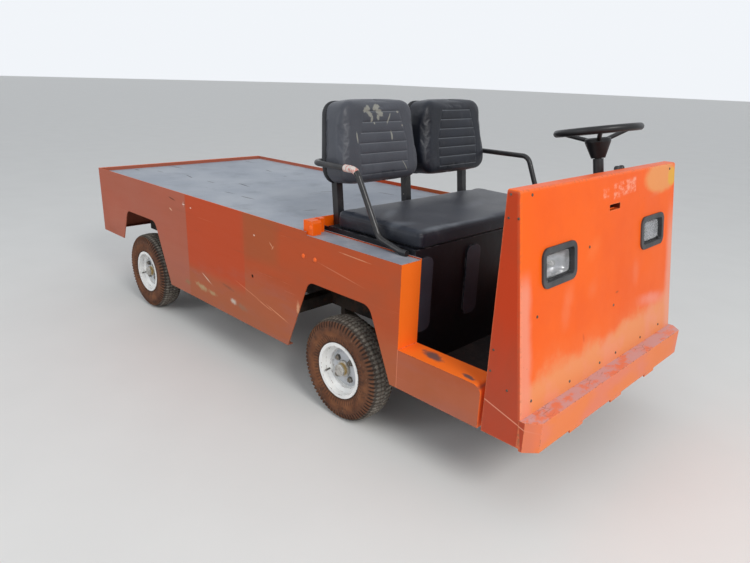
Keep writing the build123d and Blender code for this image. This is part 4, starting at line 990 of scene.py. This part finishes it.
def tyre(end, side_name):
    """A tyre with ribbed tread and saw-toothed shoulders."""
    side = SIDES[side_name]
    # Columns: radius, offset from the middle plane
    section = [
        (0.1018, 0.0476), (0.1125, 0.0482), (0.1150, 0.0505), (0.1180, 0.0512), (0.1200, 0.0520),
        (0.1225, 0.0508), (0.1300, 0.0535), (0.1400, 0.0562), (0.1500, 0.0577), (0.1600, 0.0579),
        (0.1700, 0.0572), (0.1780, 0.0558), (0.1815, 0.0556), (0.1835, 0.0546), (0.1880, 0.0535),
        (0.1925, 0.0518), (0.1965, 0.0490), (0.1998, 0.0450), (0.2020, 0.0405), (0.2035, 0.0360),
        (0.2046, 0.0310), (0.2052, 0.0270), (0.2056, 0.0235), (0.2059, 0.0205), (0.2062, 0.0175),
        (0.2064, 0.0145), (0.2066, 0.0110), (0.2068, 0.0075), (0.2069, 0.0040), (0.2070, 0.0),
    ]
    profile = section + [(radius, -out) for radius, out in reversed(section[:-1])]
    bm = bmesh.new()
    steps = LUG_COUNT * LUG_STEPS
    rings = []
    for index in range(steps):
        angle = 2 * pi * index / steps
        ring = []
        for radius, out in profile:
            stagger = 0.5 if side * out < 0 else 0.0
            tooth = (index / LUG_STEPS + stagger) % 1.0
            depth = inward = 0.0
            if radius > 0.172 and abs(out) > 0.034 and tooth < 0.34:
                depth = 0.0050 * min(1.0, (radius - 0.172) / 0.020)
                inward = 0.0022 * min(1.0, (radius - 0.172) / 0.006, (0.204 - radius) / 0.008)
            zigzag = 0.0022 if tooth < 0.5 else -0.0022
            if any(abs(out - groove - zigzag) < 0.0021 for groove in TREAD_GROOVES):
                depth = 0.0055
            reach = radius - depth
            ring.append(bm.verts.new((
                AXLES[end] + reach * cos(angle),
                side * TRACK_HALF + out - (inward if out > 0 else -inward),
                AXLE_Z + reach * sin(angle),
            )))
        rings.append(ring)
    skin(bm, rings + rings[:1])
    piece = mesh_piece(f"tyre_tread_{end}_{side_name}", bm, f"wheel_{end}_{side_name}",
                       tyre_look(end, side_name))
    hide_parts(f"tyre_{end}_{side_name}")
    piece.data.set_sharp_from_angle(angle=radians(38))


def wheel_nuts(end, side_name, material):
    """Four hexagon nuts and a valve stem on one wheel."""
    side = SIDES[side_name]
    nut = [(0, 0), (0.0135, 0), (0.0135, 0.002), (0.0108, 0.0022), (0.0112, 0.0095),
           (0.0098, 0.0115), (0.0062, 0.0115), (0.0062, 0.014), (0, 0.0145)]
    valve = [(0, -0.004), (0.0055, -0.004), (0.0048, 0.006), (0.0036, 0.010), (0.0036, 0.026),
             (0.0042, 0.026), (0.0042, 0.034), (0, 0.0345)]
    # Columns: profile, steps, angle, distance from the axle, height over mid-track, lean
    rows = [(nut, 6, 45 + 90 * index, 0.050, 0.016, 0.0) for index in range(4)]
    rows.append((valve, 12, 200, 0.090, 0.012, -0.25))
    fitted = []
    for profile, steps, degrees, reach, rise, lean in rows:
        across, upward = cos(radians(degrees)), sin(radians(degrees))
        place = (AXLES[end] + reach * across, side * (TRACK_HALF + rise), AXLE_Z + reach * upward)
        fitted.append((profile, place, (lean * across, side, lean * upward), steps))
    turned_piece(f"wheel_nuts_{end}_{side_name}", f"wheel_{end}_{side_name}",
                 material, fitted, False)


def screws(material):
    """Small screw heads on the cowl's face and sides."""
    # Columns: Y, Z on the front face
    front = [
        (-0.488, 0.989), (-0.150, 0.791), (-0.464, 0.641), (0.034, 0.559), (0.271, 0.378),
        (0.061, 0.379), (-0.062, 0.379), (-0.270, 0.381), (-0.499, 0.396), (0.488, 0.985),
        (0.44, 0.385),
    ]
    # Columns: X, Z on a side face
    flank = [(1.314, 0.992), (1.315, 0.928), (1.346, 0.931), (1.315, 0.538), (1.312, 0.470),
             (1.375, 0.430)]
    head = [(0.0048, 0), (0.0046, 0.0010), (0.0036, 0.0020), (0.0016, 0.0023), (0.0014, 0.0012),
            (0, 0.0012)]
    small = [(radius * 0.8, rise * 0.8) for radius, rise in head]
    fitted = [(head, Vector((cowl_x(z), y, z)) - COWL_NORMAL * SUNK, COWL_NORMAL, 12)
              for y, z in front]
    fitted += [(small, (x, side * (cowl_y(z) - SUNK), z), (0, side, 0.02), 12)
               for x, z in flank for side in SIDES.values()]
    turned_piece("cowl_screws", "chassis", material, fitted)


def side_bolts(material):
    """Carriage bolts through the side sheets and the bulkhead's end blocks."""
    head = [(0.0095, 0), (0.0093, 0.0012), (0.0078, 0.0032), (0.0045, 0.0048), (0, 0.0053)]
    # Columns: X, half Y, Z
    places = [(0.439, HALF, 0.622), (0.508, HALF, 0.622), (0.474, 0.552, 0.738)]
    turned_piece("side_bolts", "chassis", material, [
        (head, (x, side * (y - 0.0004), z), (0, side, 0), 16)
        for side in SIDES.values() for x, y, z in places
    ])


# Lamps, tape and dash

def lamp_frame(side):
    """A headlight's own frame: X across, Y up its face, Z out."""
    across = Vector((0, 1, 0))
    matrix = Matrix((across, COWL_NORMAL.cross(across), COWL_NORMAL)).transposed().to_4x4()
    return Matrix.Translation((cowl_x(LAMP_Z), side * LAMP_Y, LAMP_Z)) @ matrix


def rounded_rectangle(half_x, half_y, radius):
    """Points round a rounded rectangle, anticlockwise."""
    points = []
    steps = 6
    for side_x, side_y, start in ((1, 1, 0), (-1, 1, 90), (-1, -1, 180), (1, -1, 270)):
        for step in range(steps + 1):
            angle = radians(start + 90 * step / steps)
            points.append((side_x * (half_x - radius) + radius * cos(angle),
                           side_y * (half_y - radius) + radius * sin(angle)))
    return points


def lens_point(column, row, outer):
    """A place on a lamp's lens, whose inner face is fluted."""
    u, v = 2 * column / LENS_COLUMNS - 1, 2 * row / LENS_ROWS - 1
    x, y = u * LENS_HALF_X, v * LENS_HALF_Y
    straight_x, straight_y = LENS_HALF_X - LENS_CORNER, LENS_HALF_Y - LENS_CORNER
    over_x, over_y = abs(x) - straight_x, abs(y) - straight_y
    if over_x > 0 and over_y > 0:
        far = max(sqrt(over_x ** 2 + over_y ** 2), LENS_CORNER)
        x *= (straight_x + over_x * LENS_CORNER / far) / abs(x)
        y *= (straight_y + over_y * LENS_CORNER / far) / abs(y)
    z = 0.0090 * (1 - u ** 4) * (1 - v ** 4) - 0.0095
    if outer:
        z += 0.0035
    else:
        z += 0.0007 * (-1) ** column * (1 - u ** 8) * (1 - v ** 8)
    return Vector((x, y, z))


def lamp_parts(side_name, chrome, glass, bulb_glass):
    """Reflector, bulb and fluted lens of one headlight."""
    matrix = lamp_frame(SIDES[side_name])
    bm = bmesh.new()
    rings = []
    steps = 8
    for step in range(steps + 1):
        share = step / steps
        spread = sqrt(max(0.02, 1 - share ** 2))
        outline = rounded_rectangle(0.0135 + 0.058 * spread, 0.010 + 0.0225 * spread, 0.009)
        height = -0.0115 - 0.0315 * share
        rings.append([bm.verts.new(matrix @ Vector((x, y, height))) for x, y in outline])
    skin(bm, rings, caps=(-1,))
    reflector = mesh_piece(f"lamp_reflector_{side_name}", bm, "chassis", chrome)
    reflector.modifiers.new("sheet", "SOLIDIFY").thickness = 0.0008
    bm = bmesh.new()
    add_turned(bm, [(0.0062, -0.041), (0.0062, -0.034), (0.0085, -0.030), (0.0095, -0.025),
                    (0.0085, -0.0205), (0.005, -0.0185), (0, -0.018)], matrix, 16)
    mesh_piece(f"lamp_bulb_{side_name}", bm, "chassis", bulb_glass)
    bm = bmesh.new()
    rim = [(i, 0) for i in range(LENS_COLUMNS)] + [(LENS_COLUMNS, j) for j in range(LENS_ROWS)]
    rim += [(LENS_COLUMNS - i, LENS_ROWS - j) for i, j in rim]
    rims = []
    for outer in (True, False):
        grid = [[bm.verts.new(matrix @ lens_point(i, j, outer)) for j in range(LENS_ROWS + 1)]
                for i in range(LENS_COLUMNS + 1)]
        skin(bm, grid, closed=False)
        rims.append([grid[i][j] for i, j in rim])
    skin(bm, rims)
    lens = mesh_piece(f"lamp_glass_{side_name}", bm, "chassis", glass)
    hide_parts(f"headlight_lens_{side_name}")


def rail_tape(material):
    """Cloth tape wound round the hip rail's right arm where it starts to bend."""
    bm = bmesh.new()
    knee = Vector((0.632, -0.474, 0.965))
    slope = Vector((0.125, 0, -0.222)).normalized()
    back = Vector((-1, 0, 0))
    across = Vector((0, 1, 0))
    bend = 0.044
    reach = bend * sqrt((1 + back.dot(slope)) / (1 - back.dot(slope)))
    centre = knee + (back + slope).normalized() * sqrt(reach ** 2 + bend ** 2)
    bend_start = knee + back * reach
    start = bend_start + back * 0.034
    steps, round_steps = 24, 20
    straight_share = 0.6
    rows = []
    for index in range(steps + 1):
        share = index / steps
        if share < straight_share:
            point = start.lerp(bend_start, share / straight_share)
            along = -back
        else:
            arc = (share - straight_share) / (1 - straight_share) * 0.6
            arm = (bend_start - centre).slerp(knee + slope * reach - centre, arc) * bend
            point = centre + arm
            along = -across.cross(arm).normalized()
        up = across.cross(along)
        row = []
        for step in range(round_steps):
            angle = 2 * pi * step / round_steps
            wrap = 0.0119 + 0.0008 * ((index / 6 + step / round_steps) % 1.0)
            wrap += 0.0008 * noise.noise(Vector((index * 0.4, step * 0.7, 3.0)))
            row.append(bm.verts.new(point + across * wrap * cos(angle) + up * wrap * sin(angle)))
        rows.append(row)
    skin(bm, rows)
    piece = mesh_piece("rail_tape", bm, "chassis", material)
    piece.modifiers.new("sheet", "SOLIDIFY").thickness = 0.0008


def dash_fittings(looks):
    """A dial, a key switch, a toggle and a lamp on the dash, and two knobs along its top."""
    top_x, top_z = DASH_TOP
    fall_x, fall_z = DASH_FALL
    normal = (-fall_z, 0, fall_x)
    # Columns: piece, Y, share of the way down the slope, steps round, radius and height
    on_slope = [
        ("dash_knobs", DIAL_Y, DIAL_FALL, 36, [(0, -0.001), (0.031, -0.001), (0.031, 0.006),
                                               (0.028, 0.008), (0.0265, 0.0045), (0, 0.0045)]),
        ("dash_knobs", 0.105, 0.45, 20, [(0, -0.001), (0.013, -0.001), (0.013, 0.003),
                                         (0.010, 0.006), (0.0055, 0.006), (0.005, 0.014),
                                         (0, 0.0145)]),
        ("dash_switches", 0.150, 0.45, 24, [(0, -0.001), (0.014, -0.001), (0.014, 0.004),
                                            (0.0115, 0.0055), (0.0045, 0.0055), (0.0045, 0.003),
                                            (0, 0.003)]),
        ("dash_switches", 0.390, 0.30, 18, [(0, -0.001), (0.008, -0.001), (0.008, 0.003),
                                            (0.0055, 0.004), (0, 0.0065)]),
        ("dash_switches", 0.150, 0.45, 8, [(0, 0.002), (0.0011, 0.002), (0.0011, 0.026),
                                           (0, 0.0262)]),
        ("dash_dial", DIAL_Y, DIAL_FALL, 36, [(0, 0.0042), (0.0262, 0.0042), (0.0262, 0.0052),
                                              (0, 0.0052)]),
    ]
    knob = [(0, -0.016), (0.010, -0.016), (0.011, -0.002), (0.0095, 0.004), (0.006, 0.007),
            (0, 0.0078)]
    fitted = {name: [] for name in looks}
    for name, y, share, steps, profile in on_slope:
        place = (top_x - fall_x * share, y, top_z - fall_z * share)
        fitted[name].append((profile, place, normal, steps))
    for y in KNOB_YS:
        fitted["dash_knobs"].append((knob, (top_x - 0.014, y, 1.006), (-0.15, 0, 1), 18))
    for name, material in looks.items():
        turned_piece(name, "chassis", material, fitted[name])


# Camera and light

def camera():
    """The photograph's viewpoint."""
    focal_pixels = 607.095630781
    frame_width = 750
    yaw, pitch, roll = radians(134.56220042), radians(-18.60933701), radians(1.99403971)
    place = (2.19662067, -1.94982195, 1.27792816)
    forward = Vector((cos(yaw) * cos(pitch), sin(yaw) * cos(pitch), sin(pitch)))
    right = forward.cross(Vector((0, 0, 1))).normalized()
    up = right.cross(forward)
    right, up = cos(roll) * right + sin(roll) * up, cos(roll) * up - sin(roll) * right
    data = bpy.data.cameras.new("camera")
    data.sensor_fit = "HORIZONTAL"
    data.sensor_width = 36
    data.lens = focal_pixels / frame_width * data.sensor_width
    eye = bpy.data.objects.new("camera", data)
    turn = Matrix((right, up, -forward)).transposed().to_4x4()
    eye.matrix_world = Matrix.Translation(place) @ turn
    bpy.context.scene.collection.objects.link(eye)
    bpy.context.scene.camera = eye


def area_light(name, place, target, size, power, tint):
    """One soft box."""
    data = bpy.data.lights.new(name, "AREA")
    data.shape = "DISK"
    data.size = size
    data.energy = power
    data.color = tint
    lamp = bpy.data.objects.new(name, data)
    lamp.matrix_world = pointing(place, Vector(place) - Vector(target))
    bpy.context.scene.collection.objects.link(lamp)


def stage():
    """A pale floor, white beyond, and soft light from the front right."""
    bm = bmesh.new()
    for x, y in ((-1, -1), (1, -1), (1, 1), (-1, 1)):
        bm.verts.new((x * FLOOR_REACH, y * FLOOR_REACH, 0))
    bm.faces.new(bm.verts)
    mesh = bpy.data.meshes.new("floor")
    bm.to_mesh(mesh)
    bm.free()
    floor = bpy.data.objects.new("floor", mesh)
    bpy.context.scene.collection.objects.link(floor)
    look = Look("floor", Specular_IOR_Level=0.2, Roughness=0.7)
    look.colour = look.mix(look.noise(3), (228, 228, 226), (234, 234, 232))
    mesh.materials.append(look.finish())
    world = bpy.data.worlds.new("studio")
    bpy.context.scene.world = world
    world.use_nodes = True
    tree = world.node_tree
    background = tree.nodes["Background"]
    background.inputs["Color"].default_value = (0.93, 0.96, 1.0, 1)
    rays = tree.nodes.new("ShaderNodeLightPath")
    seen = tree.nodes.new("ShaderNodeMath")
    seen.operation = "MAXIMUM"
    tree.links.new(rays.outputs["Is Camera Ray"], seen.inputs[0])
    tree.links.new(rays.outputs["Is Glossy Ray"], seen.inputs[1])
    strength = tree.nodes.new("ShaderNodeMapRange")
    strength.inputs["To Min"].default_value = 0.60
    strength.inputs["To Max"].default_value = 0.95
    tree.links.new(seen.outputs[0], strength.inputs[0])
    tree.links.new(strength.outputs[0], background.inputs["Strength"])
    area_light("key", (5.4, -1.9, 4.0), (0.2, 0, 0.5), 2.2, 170, (1.0, 0.98, 0.95))
    area_light("fill", (-1.5, -5.5, 3.0), (0, 0, 0.5), 3.0, 50, (0.96, 0.98, 1.0))
    bpy.context.scene.view_settings.view_transform = "Standard"


# The picture and its pieces

camera()
stage()

PAINT_SIDE = side_paint()
PAINT_FRONT = front_paint()
PAINT_DECK = deck_paint()
ENAMEL = black_enamel()
DIRT = chassis_dirt()
KICK = kick_paint()
FOOTWELL_SHADE = footwell_shade_paint()
STEEL = bare_metal("nut steel", (110, 106, 100), (160, 156, 150))
SCREW = bare_metal("screw steel", (84, 72, 62), (120, 112, 104), (0.4, 0.6))
BEZEL = moulded("bezel plastic", (58, 58, 60), (78, 78, 80), (0.5, 0.7))
GRIP = moulded("steering grip", (22, 22, 24), (34, 34, 36), (0.3, 0.5), 300, 0.0003)
PEDAL = moulded("pedal rubber", (30, 30, 31), (52, 50, 48), (0.7, 0.9), 120, 0.0008)
CASE = moulded("battery case", (40, 40, 42), (62, 60, 58), (0.5, 0.8))
SHELL = moulded("backrest shell", (28, 30, 34), (42, 44, 48), (0.4, 0.6), 500, 0.0002)
VINYL_BACK = backrest_vinyl()
VINYL_SEAT = seat_vinyl()
CHROME = reflector_look()
LENS = glass_look("lamp glass", (250, 250, 252), (0.02, 0.12))
BULB = glass_look("bulb glass", (250, 248, 240), (0.02, 0.05))

NODE_LOOKS = {
    "side_body_left": PAINT_SIDE, "side_body_right": PAINT_SIDE, "rear_panel": PAINT_SIDE,
    "floor_pan": FOOTWELL_SHADE, "seat_bulkhead": PAINT_FRONT, "cowl": PAINT_FRONT,
    "front_bumper": PAINT_FRONT, "cargo_deck": PAINT_DECK, "dash_panel": PAINT_FRONT,
    "seat_box": KICK, "seat_posts": ENAMEL, "hip_rail": ENAMEL, "steering_column": ENAMEL,
    "steering_wheel": GRIP, "pedals": PEDAL, "battery_pack": CASE,
    "headlight_bezel_left": BEZEL, "headlight_bezel_right": BEZEL,
    "seat_cushion": VINYL_SEAT, "backrest_left": VINYL_BACK, "backrest_right": VINYL_BACK,
}
for end in AXLES:
    for side_name in SIDES:
        NODE_LOOKS[f"rim_{end}_{side_name}"] = rim_look(end, side_name)
        NODE_LOOKS[f"hub_{end}_{side_name}"] = hub_look(end, side_name)
for node_name, node_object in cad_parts.items():
    node_object.data.materials.clear()
    node_object.data.materials.append(NODE_LOOKS.get(node_name, DIRT))

for end in AXLES:
    for side_name in SIDES:
        tyre(end, side_name)
        wheel_nuts(end, side_name, STEEL)
screws(SCREW)
side_bolts(PAINT_FRONT)
for side_name in SIDES:
    lamp_parts(side_name, CHROME, LENS, BULB)
rail_tape(tape_look())
dash_fittings({"dash_knobs": ENAMEL, "dash_switches": STEEL, "dash_dial": dial_look()})
seat_cushion(VINYL_SEAT)
for side_name in SIDES:
    backrest(side_name, VINYL_BACK)
    backrest_shell(side_name, SHELL)
